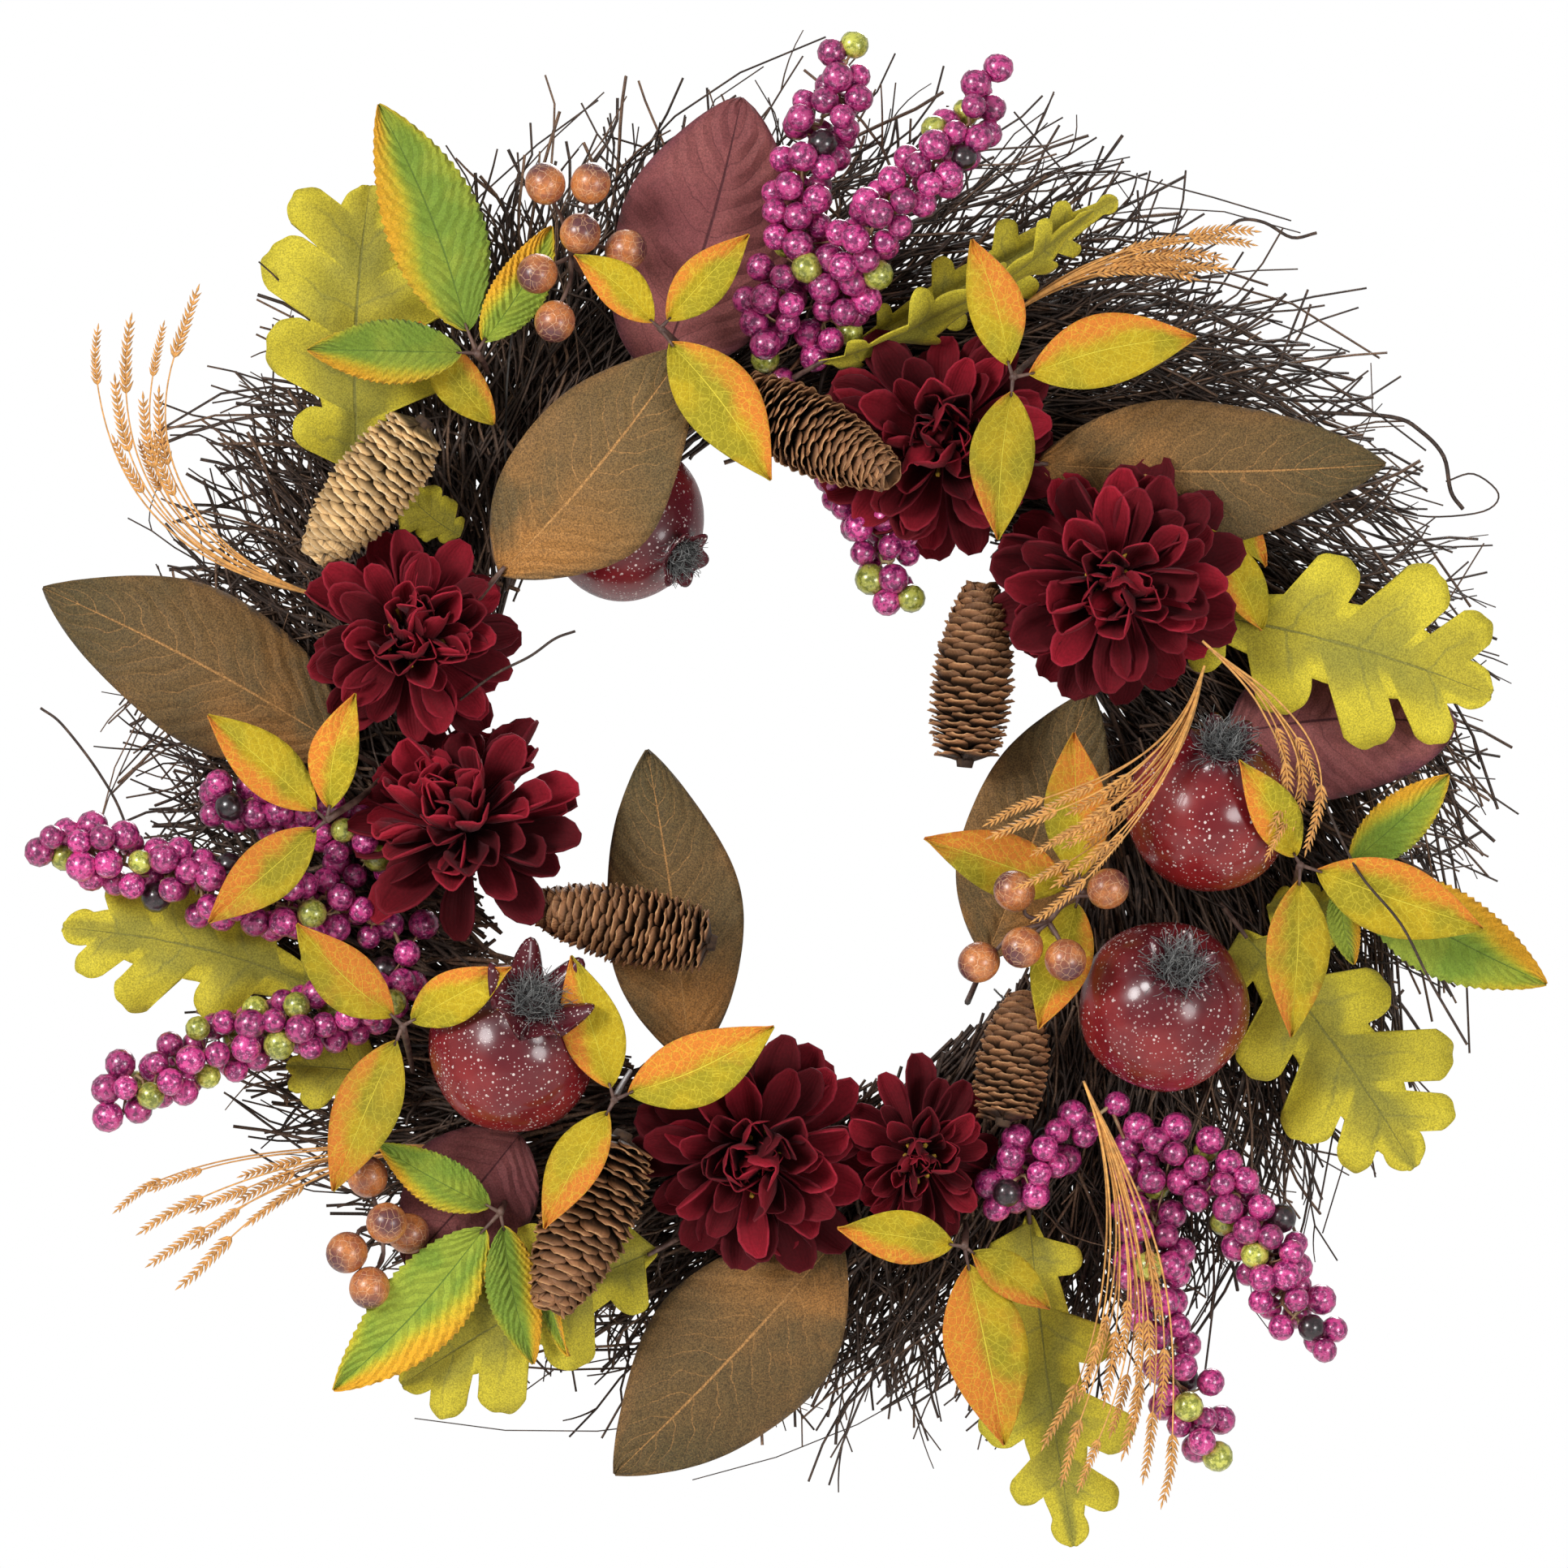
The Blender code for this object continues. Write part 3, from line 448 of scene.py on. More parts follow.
class Finish:
    """One material's nodes, added with short calls that each return an output socket."""

    def __init__(self, name):
        self.material = bpy.data.materials.new(name)
        self.material.use_nodes = True
        self.tree = self.material.node_tree
        self.shader = self.tree.nodes["Principled BSDF"]

    def node(self, kind, inputs, output=0, **options):
        node = self.tree.nodes.new("ShaderNode" + kind)
        for key, value in options.items():
            setattr(node, key, value)
        for key, value in inputs.items():
            self.feed(node.inputs[key], value)
        return node.outputs[output]

    def feed(self, socket, value):
        if isinstance(value, bpy.types.NodeSocket):
            self.tree.links.new(value, socket)
        elif socket.type == "RGBA" and len(value) == 3:
            socket.default_value = (*value, 1.0)
        else:
            socket.default_value = value

    def place(self):
        return self.node("TexCoord", {}, output="Object")

    def attribute(self, name):
        return self.node("Attribute", {}, output="Fac", attribute_name=name)

    def flat(self):
        """How far along, and how far out from the midrib from 0 to 1, on the piece's own map."""
        split = self.tree.nodes.new("ShaderNodeSeparateXYZ")
        self.tree.links.new(self.node("UVMap", {}, uv_map="UVMap"), split.inputs[0])
        side = self.less(split.outputs[1], 0.5)
        return split.outputs[0], self.mul(self.math("ABSOLUTE", side), 2.0), side

    def math(self, operation, a, b=0.0):
        return self.node("Math", {0: a, 1: b}, operation=operation)

    def add(self, a, b):
        return self.math("ADD", a, b)

    def less(self, a, b):
        """The first value less the second."""
        return self.math("SUBTRACT", a, b)

    def mul(self, a, b):
        return self.math("MULTIPLY", a, b)

    def noise(self, scale, detail=3.0, where=None, rough=0.55):
        inputs = {"Vector": where or self.place(), "Scale": scale, "Detail": detail, "Roughness": rough}
        return self.node("TexNoise", inputs)

    def cells(self, scale, output=0, where=None, **options):
        return self.node("TexVoronoi", {"Vector": where or self.place(), "Scale": scale}, output=output, **options)

    def between(self, value, low, high, start=0.0, end=1.0):
        """The value moved smoothly from one range to another."""
        inputs = {0: value, 1: low, 2: high, 3: start, 4: end}
        return self.node("MapRange", inputs, interpolation_type="SMOOTHSTEP")

    def mix(self, share, a, b, how="MIX"):
        return self.node("Mix", {0: share, 6: a, 7: b}, output=2, data_type="RGBA", blend_type=how)

    def times(self, colour, value, low, high, darkest, lightest):
        """A colour darkened or lightened by a value that runs from low to high."""
        factor = self.between(value, low, high, darkest, lightest)
        return self.mix(1.0, colour, factor, how="MULTIPLY")

    def bump(self, height, strength, distance):
        return self.node("Bump", {"Height": height, "Strength": strength, "Distance": distance})

    def done(self, **values):
        """Sets the shader's own sockets, named with underscores for spaces."""
        for key, value in values.items():
            self.feed(self.shader.inputs[key.replace("_", " ")], value)
        return self.material


def made_once(build):
    """Keeps each finish that a function makes, so that pieces share it."""
    kept = {}

    def get(*key):
        if key not in kept:
            kept[key] = build(*key)
        return kept[key]

    return get


def tone(colour, factor):
    return tuple(min(1.0, part * factor) for part in colour)


# How each kind of leaf is printed: the colour of its patches, of its edge and of its veins, how far out from the
# midrib the edge colour starts, the number of side veins and how far they run forward, and the strength of the
# woven grain, of the embossed ribs and of the fabric's sheen
LeafPaint = namedtuple("LeafPaint", "patch edge edge_from vein side_veins slant grain emboss sheen")
OAK_SIDE_VEINS = 4.45
LEAF_PAINTS = {
    "brown": LeafPaint(
        patch=(0.340, 0.150, 0.036), edge=(0.200, 0.105, 0.034), edge_from=0.80, vein=(0.40, 0.200, 0.062),
        side_veins=13, slant=0.24, grain=0.48, emboss=1.3, sheen=0.08,
    ),
    "burgundy": LeafPaint(
        patch=(0.290, 0.088, 0.080), edge=(0.130, 0.030, 0.044), edge_from=0.75, vein=(0.080, 0.016, 0.020),
        side_veins=11, slant=0.24, grain=0.30, emboss=2.4, sheen=0.15,
    ),
    "oak": LeafPaint(
        patch=(0.250, 0.225, 0.028), edge=(0.520, 0.430, 0.028), edge_from=0.34, vein=(0.190, 0.175, 0.032),
        side_veins=OAK_SIDE_VEINS, slant=0.0, grain=0.30, emboss=1.6, sheen=0.05,
    ),
    "yellow": LeafPaint(
        patch=(0.290, 0.235, 0.006), edge=(0.600, 0.185, 0.018), edge_from=0.28, vein=(0.640, 0.520, 0.040),
        side_veins=9, slant=0.30, grain=0.14, emboss=0.5, sheen=0.05,
    ),
    "green": LeafPaint(
        patch=(0.190, 0.290, 0.028), edge=(0.740, 0.360, 0.016), edge_from=0.62, vein=(0.120, 0.190, 0.024),
        side_veins=12, slant=0.30, grain=0.18, emboss=2.6, sheen=0.05,
    ),
}
EDGE_BLEND = 0.40
BROWN_TIP = (0.085, 0.062, 0.022)
GREEN_TURNING = (0.470, 0.460, 0.024)


@made_once
def leaf_finish(kind):
    """Printed leaf fabric: patches and edge colour, midrib and side veins, woven grain."""
    paint = LEAF_PAINTS[kind]
    base = tuple(getattr(settings(), kind + "_leaf_colour"))
    f = Finish(kind + "_leaf_fabric")
    along, out, side = f.flat()
    tint = f.attribute("tint")
    shift = f.node("CombineXYZ", {0: f.mul(tint, 37.0)})
    moved = f.node("VectorMath", {0: f.place(), 1: shift}, operation="ADD")
    patch = f.noise(22.0, 4.0, where=moved)
    cloud = f.less(patch, 0.5)
    if kind == "brown":
        share = f.mul(f.between(patch, 0.36, 0.60), f.add(f.between(along, 0.60, 0.0), 0.12))
        body = f.mix(share, f.mix(f.between(along, 0.55, 1.0), base, BROWN_TIP), paint.patch)
        reach = f.add(out, f.mul(cloud, 1.6))
    elif kind == "yellow":
        body = f.mix(f.between(f.noise(45.0, 2.0, where=moved), 0.4, 0.6), base, paint.patch)
        one_side = f.between(f.mul(side, f.between(tint, 0.49, 0.51, -1.0, 1.0)), -0.2, 0.5)
        reach = f.add(f.mul(one_side, 0.55), f.mul(cloud, 1.8))
        reach = f.add(reach, f.mul(along, 0.40))
    elif kind == "green":
        body = f.mix(f.between(f.noise(45.0, 2.0, where=moved), 0.4, 0.6), base, paint.patch)
        reach = f.add(f.mul(out, 0.42), f.mul(along, 0.42))
        reach = f.add(reach, f.between(side, -0.35, 0.4, 0.0, 0.36))
        reach = f.add(reach, f.mul(cloud, 0.7))
        body = f.mix(f.between(reach, 0.50, 0.84), body, GREEN_TURNING)
    else:
        body = f.mix(f.between(patch, 0.35, 0.65), base, paint.patch)
        reach = f.add(out, f.mul(cloud, 1.4))
    body = f.mix(f.between(reach, paint.edge_from, paint.edge_from + EDGE_BLEND), body, paint.edge)
    wander = f.mul(f.less(f.noise(60.0, 2.0, where=moved), 0.5), 0.12)
    curve = f.mul(f.math("POWER", out, 1.25), paint.slant)
    phase = f.less(f.add(along, wander), curve)
    wave = f.math("ABSOLUTE", f.less(f.math("FRACT", f.mul(phase, paint.side_veins)), 0.5))
    fine = f.between(wave, 0.050, 0.005)
    fade = f.between(out, 0.95, 0.30)
    rib = f.between(out, 0.026, 0.008)
    net_scale, net_share = (330.0, 0.45) if kind == "yellow" else (420.0, 0.14)
    net = f.between(f.cells(net_scale, where=moved, feature="DISTANCE_TO_EDGE"), 0.07, 0.0)
    veins = f.math("MAXIMUM", rib, f.mul(fine, f.mul(fade, 0.55)))
    body = f.mix(f.math("MAXIMUM", veins, f.mul(net, net_share)), body, paint.vein)
    grain = f.noise(1500.0, 2.0, rough=0.7)
    body = f.times(body, grain, 0.3, 0.7, 1 - paint.grain, 1 + paint.grain)
    body = f.times(body, tint, 0.0, 1.0, 0.84, 1.12)
    height = f.add(f.mul(wave, paint.emboss), f.mul(grain, 0.06))
    height = f.less(height, f.mul(rib, 0.35))
    height = f.add(height, f.mul(f.noise(70.0, 3.0, where=moved), 0.9))
    return f.done(
        Base_Color=body, Roughness=0.72, Specular_IOR_Level=0.28, Sheen_Weight=paint.sheen, Sheen_Roughness=0.5,
        Normal=f.bump(height, 0.55, 0.0014),
    )


@made_once
def bark_finish():
    """Dry twig bark: dark brown, with lighter rubbed twigs."""
    f = Finish("twig_bark")
    s = settings()
    tint = f.attribute("tint")
    worn = f.noise(240.0, 4.0)
    # Painted highlight and random tone: twigs with a high tint turn a lighter brown
    share = f.between(tint, 0.25, 1.0)
    body = f.mix(share, tuple(s.twig_colour), (0.200, 0.112, 0.066))
    body = f.mix(f.between(worn, 0.45, 0.7), body, (0.105, 0.062, 0.042))
    body = f.times(body, f.noise(1400.0, 2.0), 0.3, 0.7, 0.6, 1.35)
    return f.done(
        Base_Color=body, Roughness=0.66, Specular_IOR_Level=0.4, Normal=f.bump(f.noise(1800.0, 3.0), 0.5, 0.0004)
    )


@made_once
def wire_finish(kind):
    """Wire: green enamel on the frame, dark enamel on the binding, bare steel on the loop."""
    colour, metal, rough = {
        "frame": ((0.022, 0.034, 0.022), 0.0, 0.42),
        "binding": ((0.06, 0.055, 0.05), 0.6, 0.38),
        "loop": ((0.46, 0.46, 0.47), 1.0, 0.30),
    }[kind]
    f = Finish(kind + "_wire")
    worn = f.noise(260.0, 4.0)
    body = f.mix(f.between(worn, 0.45, 0.72), colour, tone(colour, 1.9))
    return f.done(
        Base_Color=body, Metallic=metal, Roughness=f.between(worn, 0.3, 0.7, rough - 0.08, rough + 0.14),
        Normal=f.bump(f.noise(900.0, 2.0), 0.2, 0.0003),
    )


@made_once
def stem_finish(kind):
    """Moulded stems of the picks: knotted brown, or thin and pale for the berry sprays."""
    colour, other = {
        "brown": ((0.070, 0.032, 0.024), (0.150, 0.085, 0.062)),
        "berry": ((0.230, 0.110, 0.055), (0.36, 0.26, 0.13)),
    }[kind]
    f = Finish(kind + "_stem")
    body = f.mix(f.between(f.noise(180.0, 3.0), 0.4, 0.65), colour, other)
    return f.done(Base_Color=body, Roughness=0.55, Normal=f.bump(f.noise(700.0, 3.0), 0.4, 0.0004))


@made_once
def petal_finish():
    """Velvety dyed petal fabric: darkest at its foot, redder at its lip, with fine ribs along it."""
    f = Finish("petal_velvet")
    s = settings()
    along, out, side = f.flat()
    shade = f.attribute("shade")
    # Painted shade: the petal's foot, deep in the flower, is darkened
    body = f.mix(f.between(along, 0.15, 0.95), tone(s.petal_colour, 0.42), tuple(s.petal_colour))
    # Painted highlight: a lighter, redder lip
    lip = f.mul(f.between(f.math("MAXIMUM", out, along), 0.84, 1.0), 0.40)
    body = f.mix(lip, body, (0.240, 0.014, 0.028))
    # Painted light and shade: front layers lighter, back layers darker, with a random spread
    body = f.times(body, shade, 0.0, 1.0, 0.50, 1.75)
    grain = f.noise(900.0, 3.0)
    body = f.times(body, grain, 0.3, 0.7, 0.86, 1.14)
    ribs = f.math("SINE", f.mul(side, 60.0))
    height = f.add(f.mul(ribs, 0.12), f.mul(grain, 0.12))
    return f.done(
        Base_Color=body, Roughness=0.78, Specular_IOR_Level=0.16, Sheen_Weight=0.08, Sheen_Roughness=0.45,
        Sheen_Tint=(0.95, 0.45, 0.5, 1.0), Normal=f.bump(height, 0.5, 0.0008),
    )


@made_once
def stamen_finish():
    f = Finish("stamen_yellow")
    body = f.mix(f.between(f.noise(500.0, 2.0), 0.4, 0.6), (0.55, 0.32, 0.02), (0.24, 0.14, 0.015))
    return f.done(Base_Color=body, Roughness=0.8, Normal=f.bump(f.noise(1200.0, 2.0), 0.5, 0.0004))


@made_once
def fruit_finish():
    """Lacquered skin: clouded dark red, sprayed with pale specks of several sizes."""
    f = Finish("pomegranate_skin")
    s = settings()
    cloud = f.noise(38.0, 4.0)
    along, _, _ = f.flat()
    body = f.mix(f.between(cloud, 0.38, 0.66), tuple(s.fruit_colour), (0.250, 0.020, 0.020))
    # Redder towards the end away from the crown and darker towards the crown
    toward_crown = f.add(along, f.mul(f.less(f.noise(20.0, 2.0), 0.5), 0.5))
    body = f.mix(f.between(toward_crown, 0.16, 0.42, 0.85, 0.0), body, (0.360, 0.020, 0.016))
    body = f.mix(f.between(toward_crown, 0.48, 0.80), body, (0.085, 0.010, 0.016))
    specks = 0.0
    for scale, rare, size in ((360.0, 0.45, 0.24), (680.0, 0.35, 0.24), (180.0, 0.80, 0.14)):
        pick = f.node("SeparateColor", {0: f.cells(scale, output=1)})
        dot = f.between(f.cells(scale), size, size * 0.7)
        shown = f.mul(dot, f.math("GREATER_THAN", pick, rare))
        specks = f.math("MAXIMUM", specks, shown)
    dense = f.between(f.noise(26.0, 2.0), 0.32, 0.56, 0.25, 1.0)
    specks = f.mul(specks, f.mul(dense, 0.85))
    body = f.mix(specks, body, (0.78, 0.66, 0.62))
    rough = f.add(f.between(cloud, 0.3, 0.7, 0.20, 0.32), f.mul(specks, 0.3))
    height = f.add(f.mul(f.noise(55.0, 2.0), 0.9), f.mul(specks, 0.10))
    return f.done(
        Base_Color=body, Roughness=rough, Specular_IOR_Level=0.38, Coat_Weight=0.18, Coat_Roughness=0.08,
        Normal=f.bump(height, 0.35, 0.0012),
    )


@made_once
def fibre_finish():
    f = Finish("crown_fibre")
    body = f.mix(f.attribute("tint"), (0.045, 0.048, 0.050), (0.30, 0.30, 0.29))
    return f.done(Base_Color=body, Roughness=0.6)


@made_once
def cone_finish(kind):
    """Cone scales: woody streaks, dark towards the foot and rubbed pale along the lip."""
    s = settings()
    colour = tuple(s.pale_cone_colour) if kind == "pale" else tuple(s.cone_colour)
    lip_colour = (0.84, 0.64, 0.38) if kind == "pale" else (0.54, 0.29, 0.13)
    f = Finish(kind + "_cone_scale")
    along, _, side = f.flat()
    shade = f.attribute("shade")
    streak = f.noise(300.0, 3.0)
    # Painted shade: the foot of each scale, under the one before it, is darkened to a tenth of its colour
    body = f.mix(f.between(along, 0.38, 0.80), tone(colour, 0.10), colour)
    body = f.mix(f.mul(f.between(streak, 0.42, 0.7), 0.5), body, tone(colour, 0.5))
    lip = f.mul(f.between(along, 0.86, 0.98), 0.7)
    body = f.mix(lip, body, lip_colour)
    body = f.times(body, shade, 0.0, 1.0, 0.7, 1.25)
    ribs = f.math("SINE", f.mul(side, 45.0))
    height = f.add(f.mul(ribs, 0.15), f.mul(streak, 0.4))
    return f.done(
        Base_Color=body, Roughness=0.62, Specular_IOR_Level=0.35, Normal=f.bump(height, 0.6, 0.0006)
    )


@made_once
def berry_finish(kind):
    """Pearly lacquer, mottled where the dye pooled."""
    s = settings()
    colour, dark, light = {
        "pink": (tuple(s.pink_colour), (0.160, 0.008, 0.078), (0.90, 0.36, 0.64)),
        "lime": ((0.520, 0.520, 0.080), (0.200, 0.220, 0.020), (0.78, 0.76, 0.30)),
        "black": ((0.030, 0.012, 0.016), (0.008, 0.004, 0.006), (0.12, 0.06, 0.07)),
    }[kind]
    f = Finish(kind + "_berry")
    mottle = f.noise(420.0, 4.0, rough=0.65)
    shade = f.attribute("shade")
    body = f.mix(f.between(mottle, 0.42, 0.57), dark, colour)
    body = f.mix(f.mul(f.between(f.noise(900.0, 2.0), 0.55, 0.72), 0.6), body, light)
    body = f.times(body, shade, 0.0, 1.0, 0.72, 1.25)
    return f.done(
        Base_Color=body, Metallic=0.12, Roughness=0.30, Specular_IOR_Level=0.6, Coat_Weight=0.6,
        Coat_Roughness=0.12, Normal=f.bump(mottle, 0.25, 0.0004),
    )


@made_once
def large_berry_finish():
    """Crackled orange-brown lacquer that turns dark plum at both ends."""
    f = Finish("brown_berry")
    s = settings()
    along, _, _ = f.flat()
    crack = f.between(f.cells(330.0, feature="DISTANCE_TO_EDGE"), 0.07, 0.0)
    cloud = f.noise(130.0, 4.0)
    body = f.mix(f.between(cloud, 0.40, 0.68), tuple(s.brown_berry_colour), (0.300, 0.090, 0.045))
    ends = f.math("ABSOLUTE", f.less(along, 0.45))
    body = f.mix(f.between(ends, 0.16, 0.46), body, (0.120, 0.035, 0.036))
    body = f.mix(f.mul(crack, 0.45), body, (0.80, 0.46, 0.24))
    body = f.times(body, f.noise(1300.0, 2.0), 0.3, 0.7, 0.8, 1.2)
    height = f.less(f.mul(cloud, 0.6), f.mul(crack, 0.25))
    return f.done(
        Base_Color=body, Roughness=0.34, Specular_IOR_Level=0.5, Coat_Weight=0.35, Coat_Roughness=0.22,
        Normal=f.bump(height, 0.5, 0.0008),
    )


@made_once
def wheat_finish():
    """Dyed straw: satin, with darker lines along it."""
    f = Finish("wheat_straw")
    s = settings()
    streak = f.noise(420.0, 3.0)
    body = f.mix(f.between(streak, 0.35, 0.65), tuple(s.wheat_colour), tone(s.wheat_colour, 0.6))
    body = f.mix(f.mul(f.attribute("tint"), 0.5), body, (0.46, 0.19, 0.045))
    return f.done(
        Base_Color=body, Roughness=0.5, Specular_IOR_Level=0.45, Sheen_Weight=0.15,
        Normal=f.bump(streak, 0.4, 0.0004),
    )


@made_once
def floor_finish():
    f = Finish("pale_floor")
    body = f.mix(f.between(f.noise(3.0, 3.0), 0.3, 0.7), (0.80, 0.79, 0.77), (0.86, 0.85, 0.83))
    return f.done(Base_Color=body, Roughness=0.7)


@made_once
def calyx_finish():
    f = Finish("calyx_green")
    body = f.mix(f.between(f.noise(160.0, 3.0), 0.4, 0.65), (0.045, 0.020, 0.018), (0.10, 0.022, 0.028))
    return f.done(Base_Color=body, Roughness=0.65, Normal=f.bump(f.noise(600.0, 2.0), 0.3, 0.0004))


@made_once
def cone_core_finish():
    f = Finish("cone_core")
    # Painted shade: the core that shows between the scales is painted near black
    body = f.mix(f.between(f.noise(400.0, 2.0), 0.4, 0.6), (0.035, 0.018, 0.010), (0.070, 0.036, 0.018))
    return f.done(Base_Color=body, Roughness=0.85)


# ---------------------------------------------------------------- leaves

Leaf = namedtuple("Leaf", "base along across ahead length half bow fold")


def leaf_between(base, tip, half, bow, fold, roll=0.0):
    """A leaf's place from its two ends. The roll is in degrees about its midrib."""
    along = unit(tip - base)
    level = unit(np.cross([0.0, -1.0, 0.0], along))
    upright = np.cross(along, level)
    a = math.radians(roll)
    across = level * math.cos(a) + upright * math.sin(a)
    return Leaf(base, along, across, np.cross(along, across), np.linalg.norm(tip - base), half, bow, fold)


def leaf_by_hand(base, tip, half, bow, roll=0.0):
    """A leaf placed in millimetres from the ring's middle."""
    return leaf_between(at_front(*base), at_front(*tip), half / 1000, bow, -0.002, roll)


def leaf_of(node):
    """A leaf's place and bend, fitted to its packed solid. The broader end is the base."""
    points = solid_points(node)
    middle = points.mean(0)
    along, _, ahead = np.linalg.svd(points - middle, full_matrices=False)[2]
    ahead = -ahead if ahead[1] > 0 else ahead
    order = np.argsort((points - middle) @ along)
    across = np.cross(ahead, along)
    sideways = (points - middle) @ across
    if np.ptp(sideways[order[-4:]]) > np.ptp(sideways[order[:4]]):
        along, across, order = -along, -across, order[::-1]
    base = points[order[:4]].mean(0)
    length = (points[order[-4:]].mean(0) - base) @ along
    u = (points - base) @ along / length
    v = (points - base) @ across
    half = np.abs(v).max()
    terms = np.stack([np.ones(len(u)), 4 * u * (1 - u), (v / half) ** 2], axis=1)
    rise, bow, fold = np.linalg.lstsq(terms, (points - base) @ ahead, rcond=None)[0]
    return Leaf(base + ahead * rise, along, across, ahead, length, half, bow, fold)


def leaf_points(leaf, u, v, lift=0.0):
    """Points of a leaf's sheet: u runs from its base to its tip, and v out from the midrib in metres."""
    rise = leaf.bow * 4 * u * (1 - u) + leaf.fold * (v / leaf.half) ** 2 + lift
    return (
        leaf.base + leaf.along * (u * leaf.length)[..., None] + leaf.across * v[..., None]
        + leaf.ahead * rise[..., None]
    )


def leaf_grid(rows, columns):
    return np.meshgrid(np.linspace(0, 1, rows), np.linspace(-1, 1, columns), indexing="ij")


LEAF_EDGE = 0.0005


def waviness(rng, u, v, size):
    """A slow random swell over a leaf, as pressed fabric has."""
    swell = np.zeros_like(u)
    for _ in range(4):
        k = rng.normal(size=2) * [5.0, 60.0]
        swell = swell + np.sin(k[0] * u + k[1] * v + rng.random() * 6.3)
    return swell * size / 2


# The power of the sine that gives a magnolia leaf its outline, and how much wider than its packed solid it is: the
# burgundy ones are rounder
MAGNOLIA_OUTLINES = {"brown": (0.80, 1.02), "burgundy": (0.66, 1.10)}
MAGNOLIA_WAVE = 0.0030
MAGNOLIA_SIDE_VEINS = 11


def broad_leaf(leaf, rng, kind):
    """A magnolia leaf: oval, pointed, creased along its midrib, with a slow wave along its margins."""
    u, s = leaf_grid(46, 19)
    power, widen = MAGNOLIA_OUTLINES[kind]
    half = leaf.half * np.sin(np.pi * u**0.87) ** power * widen
    edge = 1 + 0.035 * np.sin(2 * np.pi * (1.6 * u + rng.random())) * np.sign(s)
    v = s * np.maximum(half * edge, LEAF_EDGE * (2 - u))
    out = np.abs(s)
    phase = rng.random(3)
    margin = np.sin(2 * np.pi * (1.3 * u + phase[0] + 0.3 * (s > 0))) * out**2 * MAGNOLIA_WAVE
    crease = -0.0014 * np.exp(-((v / 0.0016) ** 2)) * (1 - u) ** 0.3
    ripple = 0.0006 * np.cos(2 * np.pi * (MAGNOLIA_SIDE_VEINS * u - 2.0 * out)) * np.sin(np.pi * out)
    tip_curl = 0.005 * (phase[1] - 0.6) * np.clip(u - 0.75, 0, 1) * 4
    sweep = (phase[2] - 0.5) * 0.010 * np.sin(np.pi * u)
    lift = margin + crease + ripple + tip_curl + waviness(rng, u, v, 0.0011)
    return sheet(leaf_points(leaf, u, v + sweep, lift), settings().leaf_thickness, rng.random())


# The lobes of an oak leaf from its base: where the lobe leaves the midrib, its reach and its half thickness as
# shares of the half width, and its slant forward in degrees from square
OAK_LOBES = ((0.09, 0.62, 0.20, 20), (0.31, 1.00, 0.265, 26), (0.54, 1.16, 0.27, 33), (0.75, 0.84, 0.21, 38))
OAK_TIP_R = 0.25


def oak_reach(place_on, slant, half, length, lobes):
    """How far an oak leaf's margin lies from its midrib, along rays that leave the midrib at the same slant."""
    ahead, aside = np.sin(slant), np.cos(slant)
    reach = half * (0.05 + 0.47 * np.sin(np.pi * np.clip(place_on, 0, 1)) ** 0.8)
    for middle, far, thick in lobes:
        gap = (place_on - middle) * length
        across = gap * aside / (half * thick)
        cap = np.sqrt(np.clip(1 - across**2, 0, 1)) * half * thick
        finger = half * (far - thick) + cap - gap * ahead
        reach = np.where(np.abs(across) < 1, np.maximum(reach, finger), reach)
    gap = (place_on - 1) * length + half * OAK_TIP_R
    inside = (gap * ahead) ** 2 - gap**2 + (half * OAK_TIP_R) ** 2
    return np.where(inside > 0, np.maximum(reach, np.sqrt(np.clip(inside, 0, None)) - gap * ahead), reach)


def oak_leaf(leaf, rng, size=1.0):
    """An oak leaf: round-ended lobes that point forward, with narrow bays between them."""
    u, s = leaf_grid(150, 15)
    side = (s > 0) * 1.0
    slant = np.radians(np.interp(u[:, 0], [lobe[0] for lobe in OAK_LOBES], [lobe[3] for lobe in OAK_LOBES]))
    reach = []
    for hand in (-1, 1):
        lobes = [
            (lobe[0] + hand * 0.022, lobe[1] * rng.uniform(0.92, 1.08), lobe[2] * rng.uniform(0.92, 1.08))
            for lobe in OAK_LOBES
        ]
        reach.append(oak_reach(u[:, 0], slant, leaf.half, leaf.length, lobes))
    reach = np.where(s > 0, reach[1][:, None], reach[0][:, None])
    frill = 1 + 0.008 * np.sin(2 * np.pi * (15 * u + 0.4 * side)) + 0.010 * np.sin(2 * np.pi * (7 * u + 0.7 * side))
    reach = np.maximum(reach * frill, LEAF_EDGE * (2.5 - 2 * u))
    v = s * reach * np.cos(slant)[:, None]
    share = np.clip(np.abs(v) / leaf.half, 0, 1)
    forward = np.minimum(u + np.abs(s) * reach * np.sin(slant)[:, None] / leaf.length, 1.0)
    phase = rng.random(3)
    margin = np.sin(2 * np.pi * (2.5 * forward + phase[0] + 0.4 * side)) * share**1.5 * 0.0060 * size
    crease = -0.0020 * np.exp(-((v / 0.002) ** 2)) * (1 - u) ** 0.4
    ripple = 0.0014 * np.cos(2 * np.pi * OAK_SIDE_VEINS * (u - OAK_LOBES[0][0])) * np.sin(np.pi * share) * size
    sweep = (phase[2] - 0.5) * 0.010 * np.sin(np.pi * u) * size
    lift = margin + crease + ripple + waviness(rng, forward, v, 0.0016 * size)
    return sheet(leaf_points(leaf, forward, v + sweep, lift), settings().leaf_thickness, rng.random())


